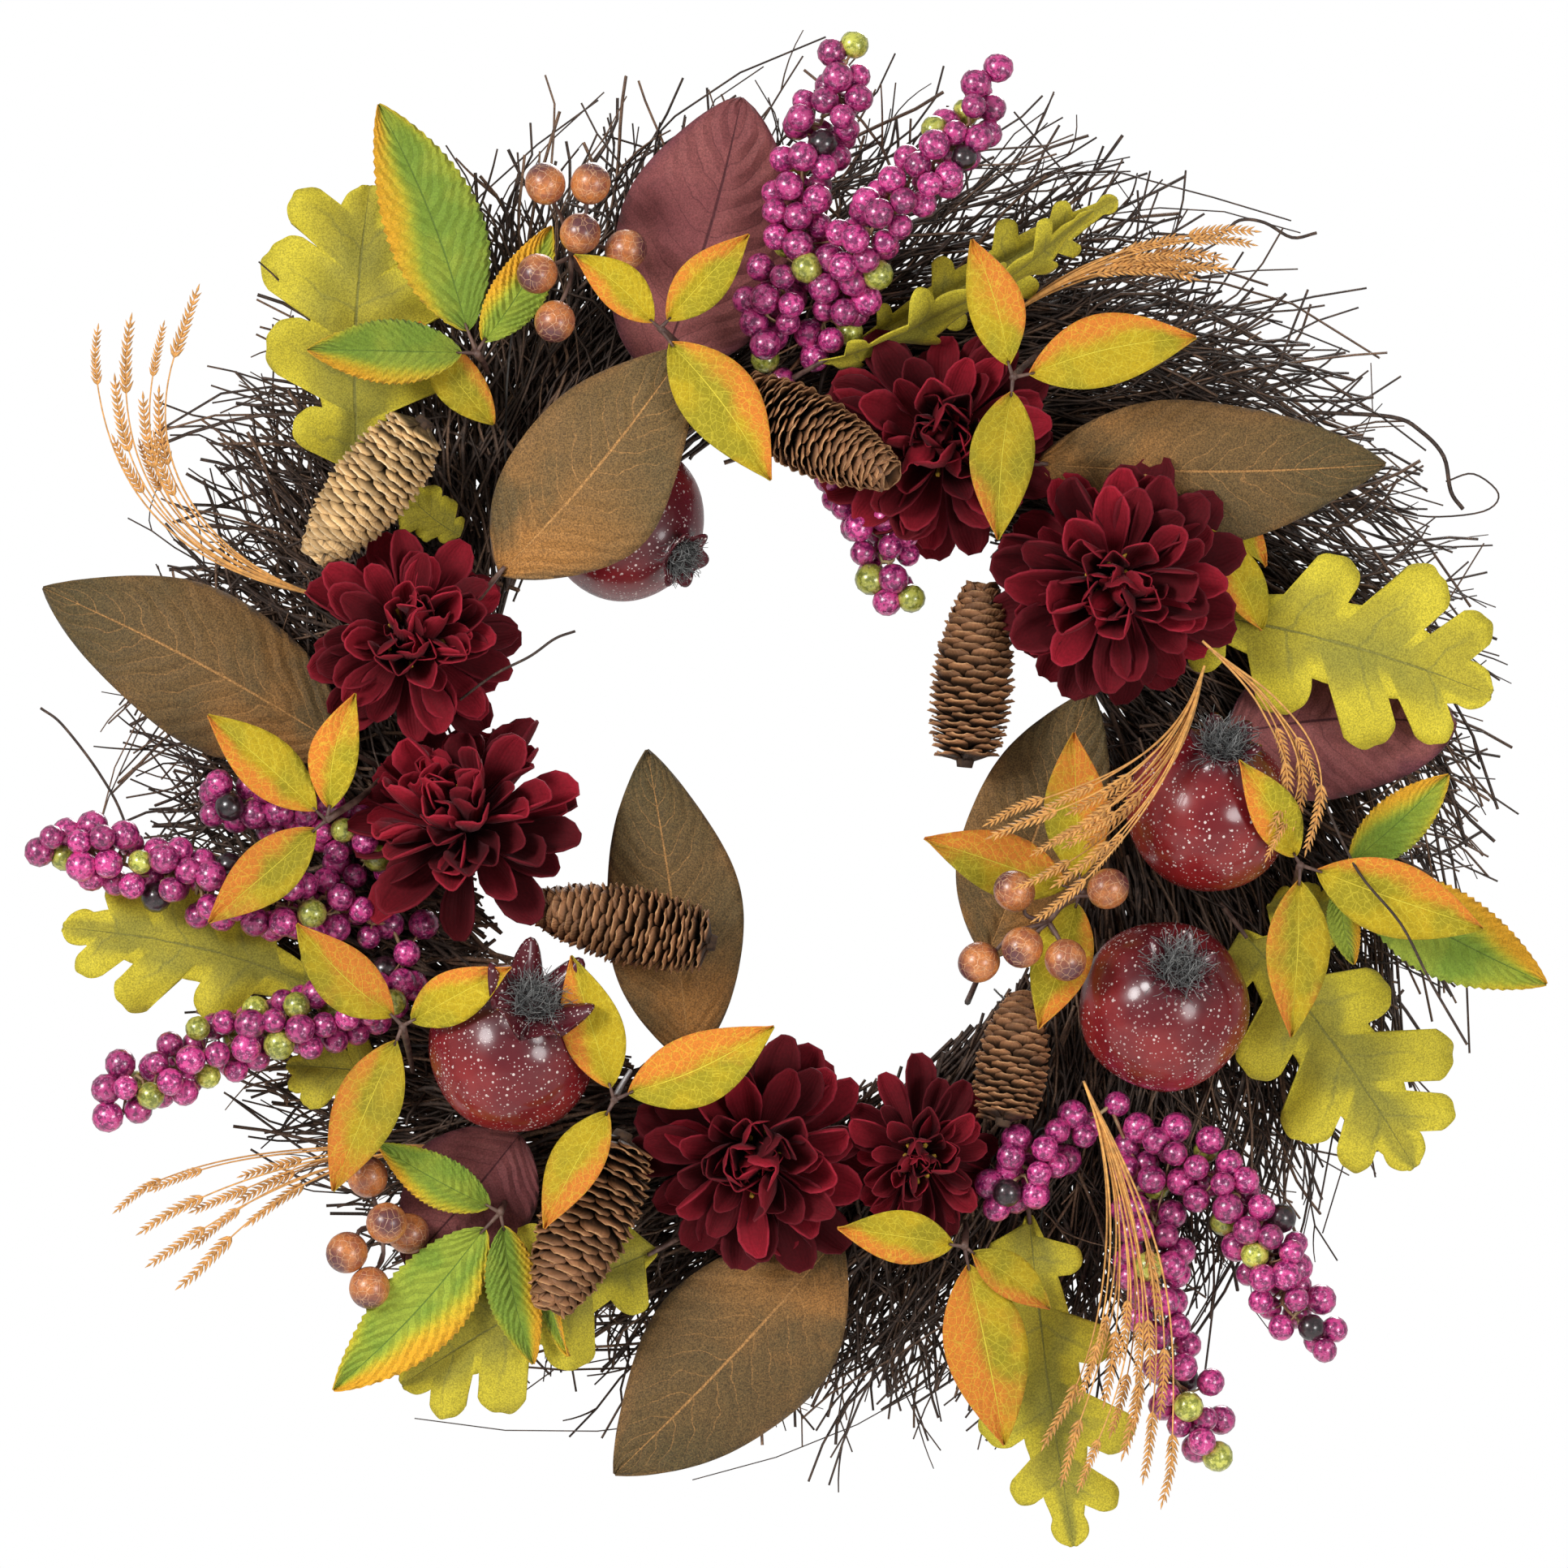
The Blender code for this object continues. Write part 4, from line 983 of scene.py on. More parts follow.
def slim_leaf(leaf, rng, teeth=0, depth=0.0):
    """A small pointed leaf, toothed if it has teeth."""
    rows = 3 * teeth + 1 if teeth else 30
    u, s = leaf_grid(rows, 11)
    half = leaf.half * np.sin(np.pi * u**0.84) ** (0.78 if teeth else 0.92)
    if teeth:
        half = half * (1 - depth * (1 - (u * teeth + 0.3 * (s > 0)) % 1.0))
    v = s * np.maximum(half, LEAF_EDGE * 0.8)
    out = np.abs(s)
    twist = (rng.random() - 0.5) * 0.005
    sweep = (rng.random() - 0.5) * 0.006 * np.sin(np.pi * u)
    crease = -0.0012 * np.exp(-((v / 0.0012) ** 2))
    ripple = (0.0006 if teeth else 0.0003) * np.cos(2 * np.pi * (12 * u - 1.8 * out)) * np.sin(np.pi * out)
    curl = 0.006 * (rng.random() - 0.5) * np.clip(u - 0.6, 0, 1) * 2.5
    lift = crease + ripple + curl + twist * s * np.sin(np.pi * u) + 0.0018 * out**2 + waviness(rng, u, v, 0.0006)
    return sheet(leaf_points(leaf, u, v + sweep, lift), settings().leaf_thickness * 0.85, rng.random())


def leaf_stem(leaf, rng):
    """The wired stalk that carries a leaf's base back into the twigs."""
    back = leaf.base - leaf.along * 0.012 + np.array([0, 0.008, 0])
    root = leaf.base - leaf.along * 0.020 + np.array([0, 0.020, 0])
    path = curve_through([leaf.base + leaf.along * 0.004, leaf.base, back, root], 9)
    return rod(path, np.linspace(0.0009, 0.0013, 9), 6, rng.random())


def make_broad_leaves(kind, seed):
    """The magnolia leaves of one colour, each in the place of its packed solid."""
    rng = np.random.default_rng(seed)
    finishes = [leaf_finish(kind), stem_finish("brown")]
    slot = kind + "_leaf"
    for node in nodes_named(slot):
        leaf = leaf_of(node)
        shapes = [broad_leaf(leaf, rng, kind), with_finish(leaf_stem(leaf, rng), 1)]
        settle(piece(node + "_fabric", shapes, finishes), slot, node)
    return rng, finishes


def make_brown_leaves():
    make_broad_leaves("brown", 11)


def make_burgundy_leaves():
    """The burgundy leaves, and a small one low on the left that lies behind its neighbours."""
    rng, finishes = make_broad_leaves("burgundy", 12)
    extra = leaf_by_hand((-103, -144, 46), (-148, -196, 52), 24, 0.003)
    settle(piece("burgundy_leaf_3", [broad_leaf(extra, rng, "burgundy")], finishes), "burgundy_leaf")


# How strongly a tucked oak leaf swells and waves, against 1 for the large ones
TUCKED_OAK_SWELL = 0.4
# Small oak leaves tucked behind the others: base, tip, half width, roll
TUCKED_OAK = (
    ((-150, -120, 44), (-196, -116, 46), 17, 15),
    ((196, -52, 44), (231, -58, 46), 14, -20),
    ((-126, 96, 44), (-148, 112, 48), 12, 20),
    ((32, 172, 50), (136, 230, 54), 17, 18),
)


def make_oak_leaves():
    rng = np.random.default_rng(13)
    finishes = [leaf_finish("oak"), stem_finish("brown")]
    for node in nodes_named("oak_leaf"):
        leaf = leaf_of(node)
        shapes = [oak_leaf(leaf, rng), with_finish(leaf_stem(leaf, rng), 1)]
        settle(piece(node + "_fabric", shapes, finishes), "oak_leaf", node)
    tucked = [
        oak_leaf(leaf_by_hand(base, tip, half, 0.002, roll), rng, TUCKED_OAK_SWELL)
        for base, tip, half, roll in TUCKED_OAK
    ]
    settle(piece("oak_leaf_tucked", tucked, finishes), "oak_leaf")


def sprig_marks(node):
    """The hub, the root of the stem and the three leaf tips of a packed sprig."""
    points = solid_points(node)
    gaps = np.linalg.norm(points[:, None] - points[None], axis=2)
    near = gaps < 0.005
    hub = points[near[near.sum(1).argmax()]].mean(0)
    root = points[points[:, 1].argmax()]
    ways = unit(points - hub + 1e-9)
    kept = [unit(root - hub)]
    tips = []
    for i in np.argsort(-np.linalg.norm(points - hub, axis=1)):
        if len(tips) < 3 and all(ways[i] @ way < math.cos(math.radians(35)) for way in kept):
            kept.append(ways[i])
            tips.append(points[i])
    return hub, root, tips


def sprig_shapes(hub, root, tips, rng, breadth, teeth, depth):
    """A sprig's leaves on short stalks, with the stem that they share."""
    shapes = []
    for tip in tips:
        run = tip - hub
        length = np.linalg.norm(run)
        base = hub + run * 0.09
        half = length * breadth * rng.uniform(0.94, 1.06)
        leaf = leaf_between(base, tip, half, 0.0035, -0.002, rng.uniform(-14, 14))
        shapes.append(slim_leaf(leaf, rng, teeth, depth))
        stalk = curve_through([hub, hub + run * 0.05 + [0, -0.0008, 0], base + run * 0.03], 5)
        shapes.append(with_finish(rod(stalk, [0.0012, 0.0009, 0.0008, 0.0007, 0.0005], 6, rng.random()), 1))
    bend = (hub + root) / 2 + np.cross(unit(root - hub), [0, 1, 0]) * rng.uniform(-0.003, 0.003)
    stem = curve_through([hub + [0, -0.0015, 0], bend, root], 9)
    shapes.append(with_finish(rod(stem, np.linspace(0.0016, 0.0010, 9), 7, rng.random()), 1))
    return shapes


# Odd leaves that show between the picks: base, tip, half width, roll
ODD_YELLOW = (
    ((194, 58, 58), (172, 98, 66), 9, 35),
    ((176, 104, 50), (196, 84, 52), 7, -20),
    ((-113, 140, 54), (-143, 181, 55), 9.5, 10),
)
ODD_GREEN = (((-92, -188, 56), (-84, -232, 60), 7, 30),)


def make_sprigs(kind, seed, breadth, teeth, depth, odd):
    rng = np.random.default_rng(seed)
    slot = kind + "_leaf"
    finishes = [leaf_finish(kind), stem_finish("brown")]
    for node in nodes_named(kind + "_sprig"):
        shapes = sprig_shapes(*sprig_marks(node), rng, breadth, teeth, depth)
        settle(piece(node + "_fabric", shapes, finishes), slot, node)
    loose = [
        slim_leaf(leaf_by_hand(base, tip, half, 0.003, roll), rng, teeth, depth) for base, tip, half, roll in odd
    ]
    settle(piece(kind + "_leaf_loose", loose, finishes), slot)


def make_yellow_sprigs():
    make_sprigs("yellow", 14, 0.198, 0, 0.0, ODD_YELLOW)


def make_green_sprigs():
    make_sprigs("green", 15, 0.190, 25, 0.10, ODD_GREEN)


# ---------------------------------------------------------------- flowers, fruit and cones


def petal_piece(name, cup, curl, breadth):
    """A spoon of a petal, one unit long: narrow foot, broad rounded lip, cupped across and curled along."""
    along = np.array([0, 0.22, 0.44, 0.63, 0.79, 0.91, 0.975, 1.0])
    u, s = np.meshgrid(along, np.linspace(-1, 1, 5), indexing="ij")
    lip = np.sqrt(np.clip(1 - (np.clip(u - 0.70, 0, 1) / 0.30) ** 2.2, 0.10, 1))
    width = (0.16 + 0.84 * np.clip(u / 0.68, 0, 1) ** 0.8) * lip
    v = s * breadth / 2 * np.maximum(width, 0.12)
    rise = cup * s**2 * np.minimum(1, 0.35 + u) * width + curl * u**2
    points = np.stack([u, v, rise], axis=-1)
    return mesh_of(name, [sheet(points, 0.020)], [petal_finish()])


# Layers of a chrysanthemum, from the back: how many petals, then the radius and height of their feet, their lift
# in degrees and their length, as shares of the flower's radius and height
PETAL_LAYERS = (
    (13, 0.18, 0.24, -12, 0.88),
    (14, 0.19, 0.33, 4, 0.84),
    (14, 0.18, 0.40, 18, 0.79),
    (12, 0.16, 0.44, 32, 0.72),
    (11, 0.14, 0.46, 46, 0.64),
    (9, 0.10, 0.47, 59, 0.56),
    (6, 0.06, 0.46, 72, 0.50),
)
# How far the petals spread past the packed flower. The small flower is seen more from its side and is taller
FLOWER_SPREAD, SMALL_FLOWER_SPREAD, SMALL_FLOWER_TALL = 1.13, 1.24, 1.30
SMALL_FLOWER_R = 0.030
STAMENS = 16


def solid_axis(node, count):
    """The middles of the lowest and the highest ring of a packed flower, whose rings have this many points."""
    points = solid_points(node)
    order = np.argsort(-points[:, 1])
    back, front = points[order[:count]].mean(0), points[order[-count:]].mean(0)
    for _ in range(3):
        along = unit(front - back)
        order = np.argsort(points @ along)
        back, front = points[order[:count]].mean(0), points[order[-count:]].mean(0)
    middle = points - back
    radius = np.linalg.norm(middle - np.outer(middle @ along, along), axis=1).max()
    return back, front, radius


def make_mums():
    """Chrysanthemums: layers of spoon petals on a green calyx, opening round a few yellow stamens."""
    rng = np.random.default_rng(21)
    for node in nodes_named("mum_"):
        back, front, radius = solid_axis(node, 16)
        height = np.linalg.norm(front - back)
        axis = unit(front - back)
        right = unit(np.cross([0, 0, 1], axis))
        up = np.cross(axis, right)
        small = radius < SMALL_FLOWER_R
        reach = radius * (SMALL_FLOWER_SPREAD if small else FLOWER_SPREAD)
        tall = SMALL_FLOWER_TALL if small else 1.0
        places, axes, sizes, tints, kinds = [], [], [], [], []
        for number, (count, foot_r, foot_z, lift, length) in enumerate(PETAL_LAYERS):
            count = round(count * (0.8 if small else 1.0))
            turn = rng.random() * 2 * math.pi
            tip_over = right * rng.normal() * 0.10 + up * rng.normal() * 0.10
            for k in range(count):
                a = turn + 2 * math.pi * (k + rng.uniform(-0.38, 0.38)) / count
                e = math.radians(lift + rng.normal() * 11)
                out = right * math.cos(a) + up * math.sin(a)
                way = out * math.cos(e) + axis * math.sin(e)
                ahead = axis * math.cos(e) - out * math.sin(e)
                yaw, roll = rng.normal() * 0.18, rng.normal() * (0.22 + 0.05 * number)
                side = np.cross(ahead, way)
                way = unit(way + side * yaw - axis * (out @ tip_over))
                ahead = unit(ahead + side * roll)
                foot = back + out * radius * foot_r + axis * height * (foot_z + rng.normal() * 0.015)
                size = reach * length * rng.uniform(0.80, 1.08) * (1 + (tall - 1) * abs(out @ up))
                places.append(foot)
                axes.append(axes_along(way, ahead))
                sizes.append(np.array([1, 1 / (1 + (tall - 1) * abs(out @ up) * 0.6), 1]) * size)
                # Painted light and shade: each layer nearer the front gets a lighter shade, as if lit, and the back
                # layers a darker one, with a random spread
                tints.append(np.clip(0.24 + 0.06 * number + rng.normal() * 0.27, 0, 1))
                kinds.append(int(rng.integers(0, 3)) if number < 4 else int(rng.integers(3, 6)))
        pieces = [
            petal_piece("petal_flat", 0.10, 0.05, 0.42), petal_piece("petal_spoon", 0.19, 0.14, 0.46),
            petal_piece("petal_back", 0.13, -0.10, 0.41), petal_piece("petal_cup", 0.24, 0.24, 0.52),
            petal_piece("petal_furl", 0.34, 0.34, 0.47), petal_piece("petal_hood", 0.22, 0.50, 0.56),
        ]
        petals = scattered(node + "_petals", places, axes, sizes, tints, pieces, petal_finish(), kinds)
        settle(petals, "mum_petal", node)
        shapes = []
        for k in range(STAMENS):
            a, spread = GOLDEN_ANGLE * k, 0.05 * radius * math.sqrt(k)
            out = (right * math.cos(a) + up * math.sin(a)) * spread
            foot = back + axis * height * 0.5 + out
            tip = foot + axis * height * rng.uniform(0.20, 0.32) + out * 0.8
            shapes.append(rod(np.linspace(foot, tip, 4), [0.0006, 0.0005, 0.0007, 0.0011], 5, rng.random()))
        settle(piece(node + "_stamens", shapes, [stamen_finish()]), "mum_petal")
        path = np.linspace(back - axis * 0.002, back + axis * height * 0.46, 8)
        cup = rod(path, radius * np.array([0.07, 0.09, 0.16, 0.24, 0.27, 0.26, 0.20, 0.10]), 18)
        stem = rod(np.linspace(back + axis * 0.002, back - axis * 0.014, 4), 0.0016, 7)
        settle(piece(node + "_calyx", [cup, stem], [calyx_finish()]), "mum_petal")


def ball_of(node):
    """The centre and radius of the ball in a packed solid, and the way to whatever stands out from it."""
    points = solid_points(node)
    kept = points
    for _ in range(12):
        fit = np.linalg.lstsq(np.column_stack([2 * kept, np.ones(len(kept))]), (kept**2).sum(1), rcond=None)[0]
        centre = fit[:3]
        radius = math.sqrt(fit[3] + centre @ centre)
        away = np.linalg.norm(points - centre, axis=1)
        kept = points[np.abs(away - radius) < 0.03 * radius]
    return centre, radius, unit(points[away > 1.12 * radius].mean(0) - centre)


# How widely a fruit's sepals flare, where they differ from a small crown
CROWN_FLARE = {"pomegranate_1": 0.15, "pomegranate_4": 1.7}
SMALL_CROWN_FLARE = 0.45
# How long a fruit's fibres are, where they differ
TUFTS = {"pomegranate_1": 0.6}
FIBRES = 260
FIBRE_R = 0.00015


def make_pomegranates():
    """Pomegranates: a softly ribbed globe, a neck, six flared sepals, and a tuft of grey fibres inside them."""
    rng = np.random.default_rng(22)
    segments = 72
    angles = 2 * np.pi * np.arange(segments) / segments
    for node in nodes_named("pomegranate"):
        centre, radius, axis = ball_of(node)
        side = unit(np.cross(axis, [0.2, 1.0, 0.1]))
        other = np.cross(axis, side)
        ways = np.cos(angles)[:, None] * side + np.sin(angles)[:, None] * other
        turn = rng.random()
        rib = np.cos(5 * angles + turn * 6)
        sepal = np.abs(np.cos(3 * angles + turn * 3)) ** 1.5
        rings = []
        for t in np.linspace(0.02, 0.88, 30):
            h = -math.cos(math.pi * t)
            plump = math.sqrt(max(0.0, 1 - h * h)) * (1 + 0.012 * rib * math.sin(math.pi * t))
            sink = 0.05 * math.exp(-(((h + 1) / 0.10) ** 2))
            rings.append(centre + axis * radius * (h * 0.97 + sink) + ways * (radius * plump)[:, None])
        flare = CROWN_FLARE.get(node, SMALL_CROWN_FLARE)
        neck = ((0.32, 0.945, 0), (0.27, 0.99, 0), (0.245, 1.04, 0), (0.25, 1.08, 0.02))
        rim = (
            (0.27 + 0.06 * flare, 1.11, 0.08 * flare), (0.30 + 0.12 * flare, 1.13, 0.22 * flare),
            (0.33 + 0.15 * flare, 1.14, 0.30 * flare), (0.30 + 0.14 * flare, 1.135, 0.29 * flare),
            (0.24 + 0.05 * flare, 1.10, 0.07 * flare),
        )
        inside = ((0.205, 1.06, 0.0), (0.160, 1.01, 0.0), (0.08, 0.98, 0.0))
        for out, rise, points_up in (*neck, *rim, *inside):
            reach = out * (1 + 0.30 * (sepal - 0.5) * (points_up > 0.04)) + 0.006 * rib
            level = rise + points_up * (sepal - 0.35)
            rings.append(centre + radius * (axis * level[:, None] + ways * reach[:, None]))
        settle(piece(node + "_skin", [shell(np.array(rings))], [fruit_finish()]), "pomegranate", node)
        top = centre + axis * radius * 1.02
        tuft = TUFTS.get(node, 1.0)
        fibres = []
        for _ in range(FIBRES):
            a, out = rng.random() * 2 * math.pi, radius * 0.19 * math.sqrt(rng.random())
            point = top + (side * math.cos(a) + other * math.sin(a)) * out
            way = unit(axis * 1.5 + (side * math.cos(a) + other * math.sin(a)) * 0.8 + rng.normal(size=3) * 0.45)
            bend = rng.normal(size=3) * 0.55
            path = [point]
            for _ in range(6):
                path.append(path[-1] + way * radius * tuft * rng.uniform(0.045, 0.095))
                way = unit(way + bend * 0.45 + rng.normal(size=3) * 0.25)
            fibres.append((np.array(path), FIBRE_R, rng.random()))
        settle(strands(node + "_fibres", fibres, fibre_finish(), 3), "pomegranate")


def scale_piece(name, breadth, hook, finish):
    """One woody cone scale, a unit long: a wedge that ends in a rounded lip."""
    u, s = np.meshgrid([0.0, 0.4, 0.72, 0.90, 1.0], np.linspace(-1, 1, 5), indexing="ij")
    width = (0.30 + 0.70 * u**0.7) * np.sqrt(np.clip(1 - (np.clip(u - 0.70, 0, 1) / 0.32) ** 2.5, 0.12, 1))
    rise = -0.10 * s**2 * u + hook * u**3
    points = np.stack([u - 0.07 * s**2 * (u > 0.7), s * breadth / 2 * width, rise], axis=-1)
    thickness = 0.085 - 0.045 * u
    return mesh_of(name, [sheet(points, thickness)], [finish])


# Cones whose tip is their fatter end
BLUNT_CONES = ("cone_2",)
PALE_CONES = ("cone_1",)
# How many scales a cone has for each radius of its length, and the lift of its lowest ones in degrees
CONE_SCALES = {"pale": (50, 20), "brown": (42, 13)}
TIP_SCALE_LIFT = 78


def cone_axis(node):
    """The stalk end and the tip of a packed cone, and its radius. Its stalk end is the fatter one."""
    points = solid_points(node)
    middle = points.mean(0)
    along = np.linalg.svd(points - middle, full_matrices=False)[2][0]
    t = (points - middle) @ along
    low, high = middle + along * t.min(), middle + along * t.max()
    out = np.linalg.norm((points - middle) - np.outer(t, along), axis=1)
    end = 0.22 * np.ptp(t)
    thick_low, thick_high = out[t < t.min() + end].max(), out[t > t.max() - end].max()
    if (thick_low < thick_high) != (node in BLUNT_CONES):
        low, high = high, low
    return low, high, out.max()


def make_cones():
    """Spruce cones: woody scales in golden spirals round a dark core."""
    rng = np.random.default_rng(23)
    for node in nodes_named("cone_"):
        low, high, radius = cone_axis(node)
        length = np.linalg.norm(high - low)
        axis = unit(high - low)
        side = unit(np.cross(axis, [0.3, 1.0, 0.2]))
        other = np.cross(axis, side)
        kind = "pale" if node in PALE_CONES else "brown"
        per_radius, rise = CONE_SCALES[kind]
        finish = cone_finish(kind)
        count = round(length / radius * per_radius)
        places, axes, sizes, tints = [], [], [], []
        for i in range(count):
            t = i / (count - 1)
            girth = radius * math.sin(math.pi * (0.16 + 0.79 * t) ** 0.85) ** 0.62
            a = GOLDEN_ANGLE * i + rng.normal() * 0.02
            out = side * math.cos(a) + other * math.sin(a)
            lift = math.radians(rise + (TIP_SCALE_LIFT - rise) * t**1.2 + rng.normal() * 2.5)
            way = out * math.cos(lift) + axis * math.sin(lift)
            ahead = axis * math.cos(lift) - out * math.sin(lift)
            reach = min(girth * (0.80 + 0.10 * rng.random()) / max(0.35, math.cos(lift)), 0.72 * radius)
            foot = low + axis * length * (0.02 + 0.84 * t) + out * (girth - min(girth, reach * math.cos(lift))) * 0.95
            places.append(foot)
            axes.append(axes_along(way, -ahead))
            sizes.append(np.array([1.0, 1.0 + 0.06 * rng.normal(), 1.0]) * reach)
            tints.append(rng.random())
        pieces = [scale_piece("scale_a", 1.12, 0.03, finish), scale_piece("scale_b", 1.24, 0.10, finish)]
        scales = scattered(node + "_scales", places, axes, sizes, tints, pieces, finish, rng.integers(0, 2, count))
        settle(scales, "cone", node)
        path = np.linspace(low - axis * 0.001, high - axis * 0.009, 14)
        t = np.linspace(0, 1, 14)
        girths = radius * 0.34 * np.sin(np.pi * (0.08 + 0.86 * t) ** 0.85) ** 0.6
        settle(piece(node + "_core", [rod(path, girths, 12, 0.0)], [cone_core_finish()]), "cone")


# ---------------------------------------------------------------- berries and wheat


def berry_piece(name, finish):
    """A small round berry with a dimple at its stalk."""
    angles = 2 * np.pi * np.arange(12) / 12
    rings = []
    for t in np.linspace(0.07, 0.93, 7):
        h, out = -math.cos(math.pi * t), math.sin(math.pi * t)
        rings.append(np.stack([np.full(12, h), out * np.cos(angles), out * np.sin(angles)], axis=-1))
    verts, faces, uvs, tint = shell(np.array(rings))
    verts[-2, 0], verts[-1, 0] = -0.99, 0.99
    return mesh_of(name, [(verts, faces, uvs, tint)], [finish])


BERRY_TRIES = 9000
# How near two small berries may sit, and how near two odd-coloured ones may, in berry radii
BERRY_GAP, ODD_BERRY_GAP = 1.62, 2.9
# The share of berries tried as odd ones, and the share that are lime. The other odd ones are black
ODD_BERRY_SHARE, LIME_SHARE = 0.27, 0.185


def berry_places(node, rng):
    """Berries packed over the outside of a packed spray, and the points of its middle line near each."""
    _, normals, areas = solid_facets(node)
    obj = frame["nodes"][node]
    tree = BVHTree.FromPolygons(
        [v.co for v in obj.data.vertices], [tuple(p.vertices) for p in obj.data.polygons]
    )
    radius = settings().berry_radius
    picks = rng.choice(len(areas), BERRY_TRIES, p=areas / areas.sum())
    places, cores = [], []
    for i in picks:
        corners = np.array([obj.data.vertices[v].co for v in obj.data.polygons[i].vertices])
        share = rng.dirichlet(np.ones(len(corners)))
        point = share @ corners
        inward = -normals[i]
        hit = tree.ray_cast(Vector(point + inward * 1e-5), Vector(inward))
        if hit[3] is None or hit[3] < 2.2 * radius:
            continue
        centre = point + inward * radius * rng.uniform(0.35, 1.30)
        if places and np.min(np.linalg.norm(np.array(places) - centre, axis=1)) < BERRY_GAP * radius:
            continue
        places.append(centre)
        cores.append(point + inward * hit[3] / 2)
    return np.array(places), np.array(cores)


def tree_of(points, root):
    """Pairs of points that join every point to the root by the shortest links."""
    points = np.vstack([root, points])
    joined_to = np.zeros(len(points), int)
    gap = np.linalg.norm(points - points[0], axis=1)
    waiting = set(range(1, len(points)))
    pairs = []
    while waiting:
        i = min(waiting, key=gap.__getitem__)
        waiting.remove(i)
        pairs.append((points[joined_to[i]], points[i]))
        away = np.linalg.norm(points - points[i], axis=1)
        closer = away < gap
        joined_to[closer] = i
        gap = np.minimum(gap, away)
    return pairs


def make_berry_picks():
    """Sprays of pink berries, with a few unripe and a few dark ones, on thin branching stems."""
    rng = np.random.default_rng(31)
    radius = settings().berry_radius
    for node in nodes_named("berry_pick"):
        places, cores = berry_places(node, rng)
        root = solid_points(node)
        root = root[root[:, 1].argmax()]
        lot = rng.random(len(places))
        odd = []
        for i in np.flatnonzero(lot < ODD_BERRY_SHARE):
            if all(np.linalg.norm(places[i] - places[j]) > ODD_BERRY_GAP * radius for j in odd):
                odd.append(i)
        odd = np.isin(np.arange(len(places)), odd)
        kinds = {"pink": ~odd, "lime": odd & (lot < LIME_SHARE), "black": odd & (lot >= LIME_SHARE)}
        lead = True
        for kind, chosen in kinds.items():
            if not chosen.any():
                continue
            count = int(chosen.sum())
            name = f"{node}_{kind}"
            piece = [berry_piece(kind + "_berry", berry_finish(kind))]
            sizes = radius * rng.uniform(0.84, 1.12, count)
            made = scattered(
                name, places[chosen], random_axes(rng, count), sizes, rng.random(count), piece, berry_finish(kind)
            )
            settle(made, "pink_berry", *([node] if lead else []))
            lead = False
        lines = []
        for a, b in tree_of(cores, root):
            middle = (a + b) / 2 + rng.normal(size=3) * 0.0008
            lines.append((curve_through([a, middle, b], 5), 0.0008, rng.random()))
        for core, berry in zip(cores, places):
            lines.append((curve_through([core, (core + berry) / 2 + [0, 0, -0.001], berry], 4), 0.00045, rng.random()))
        settle(strands(node + "_stems", lines, stem_finish("berry"), 4), "pink_berry")


def berry_centres(node, radius):
    """The centres of the balls in a packed pick: where the inward normals of many facets meet."""
    middles, normals, _ = solid_facets(node)
    votes = middles - normals * radius
    centres = []
    while True:
        count = [(np.linalg.norm(votes - vote, axis=1) < 0.0015).sum() for vote in votes] if len(votes) else [0]
        best = int(np.argmax(count))
        if count[best] < 18:
            return np.array(centres)
        near = np.linalg.norm(votes - votes[best], axis=1)
        centres.append(votes[near < 0.0015].mean(0))
        votes = votes[near > 0.004]


# The radius of the balls in a packed cluster, and how far from a ball's middle the stalks are clear of it
BALL_R, CLEAR_OF_BALL = 0.0080, 0.0100


def make_brown_berries():
    """Large crackled berries on bent brown stalks that meet at a fork."""
    rng = np.random.default_rng(32)
    radius = settings().large_berry_radius
    for node in nodes_named("brown_berries"):
        centres = berry_centres(node, BALL_R)
        points = solid_points(node)
        clear = np.linalg.norm(points[:, None] - centres[None], axis=2).min(1) > CLEAR_OF_BALL
        fork = points[clear].mean(0)
        shapes = []
        for centre in centres:
            run = centre - fork
            sag = unit(np.cross(run, rng.normal(size=3))) * 0.004
            stalk = curve_through([fork, fork + run * 0.45 + sag, centre - unit(run) * radius * 0.7], 8)
            end = unit(centre - stalk[-2])
            shapes.append(with_finish(rod(stalk, np.linspace(0.0011, 0.0008, 8), 6, rng.random()), 1))
            collar = np.array([stalk[-1] - end * 0.0022, stalk[-1] - end * 0.0008, stalk[-1] + end * 0.0010])
            shapes.append(with_finish(rod(collar, [0.0011, 0.0021, 0.0030], 8), 1))
            axis = unit(centre - stalk[-1])
            t = np.linspace(0.04, 0.96, 15)
            path = centre - axis * np.cos(np.pi * t)[:, None] * radius * 1.03
            shapes.append(rod(path, radius * np.sin(np.pi * t) * rng.uniform(0.96, 1.0), 22, rng.random()))
        tail = curve_through([fork, fork + [0.002, 0.010, -0.003], fork + [0.004, 0.022, -0.006]], 7)
        shapes.append(with_finish(rod(tail, 0.0013, 6, rng.random()), 1))
        settle(piece(node + "_fruit", shapes, [large_berry_finish(), stem_finish("brown")]), "brown_berry", node)


def grain_piece(name, finish):
    """One grain of an ear with its short beard, a unit long."""
    angles = 2 * np.pi * np.arange(4) / 4
    rings = []
    for along, out in ((0.0, 0.06), (0.30, 0.155), (0.62, 0.10), (1.0, 0.015)):
        rings.append(np.stack([np.full(4, along), out * np.cos(angles), 0.7 * out * np.sin(angles)], axis=-1))
    return mesh_of(name, [shell(np.array(rings))], [finish])


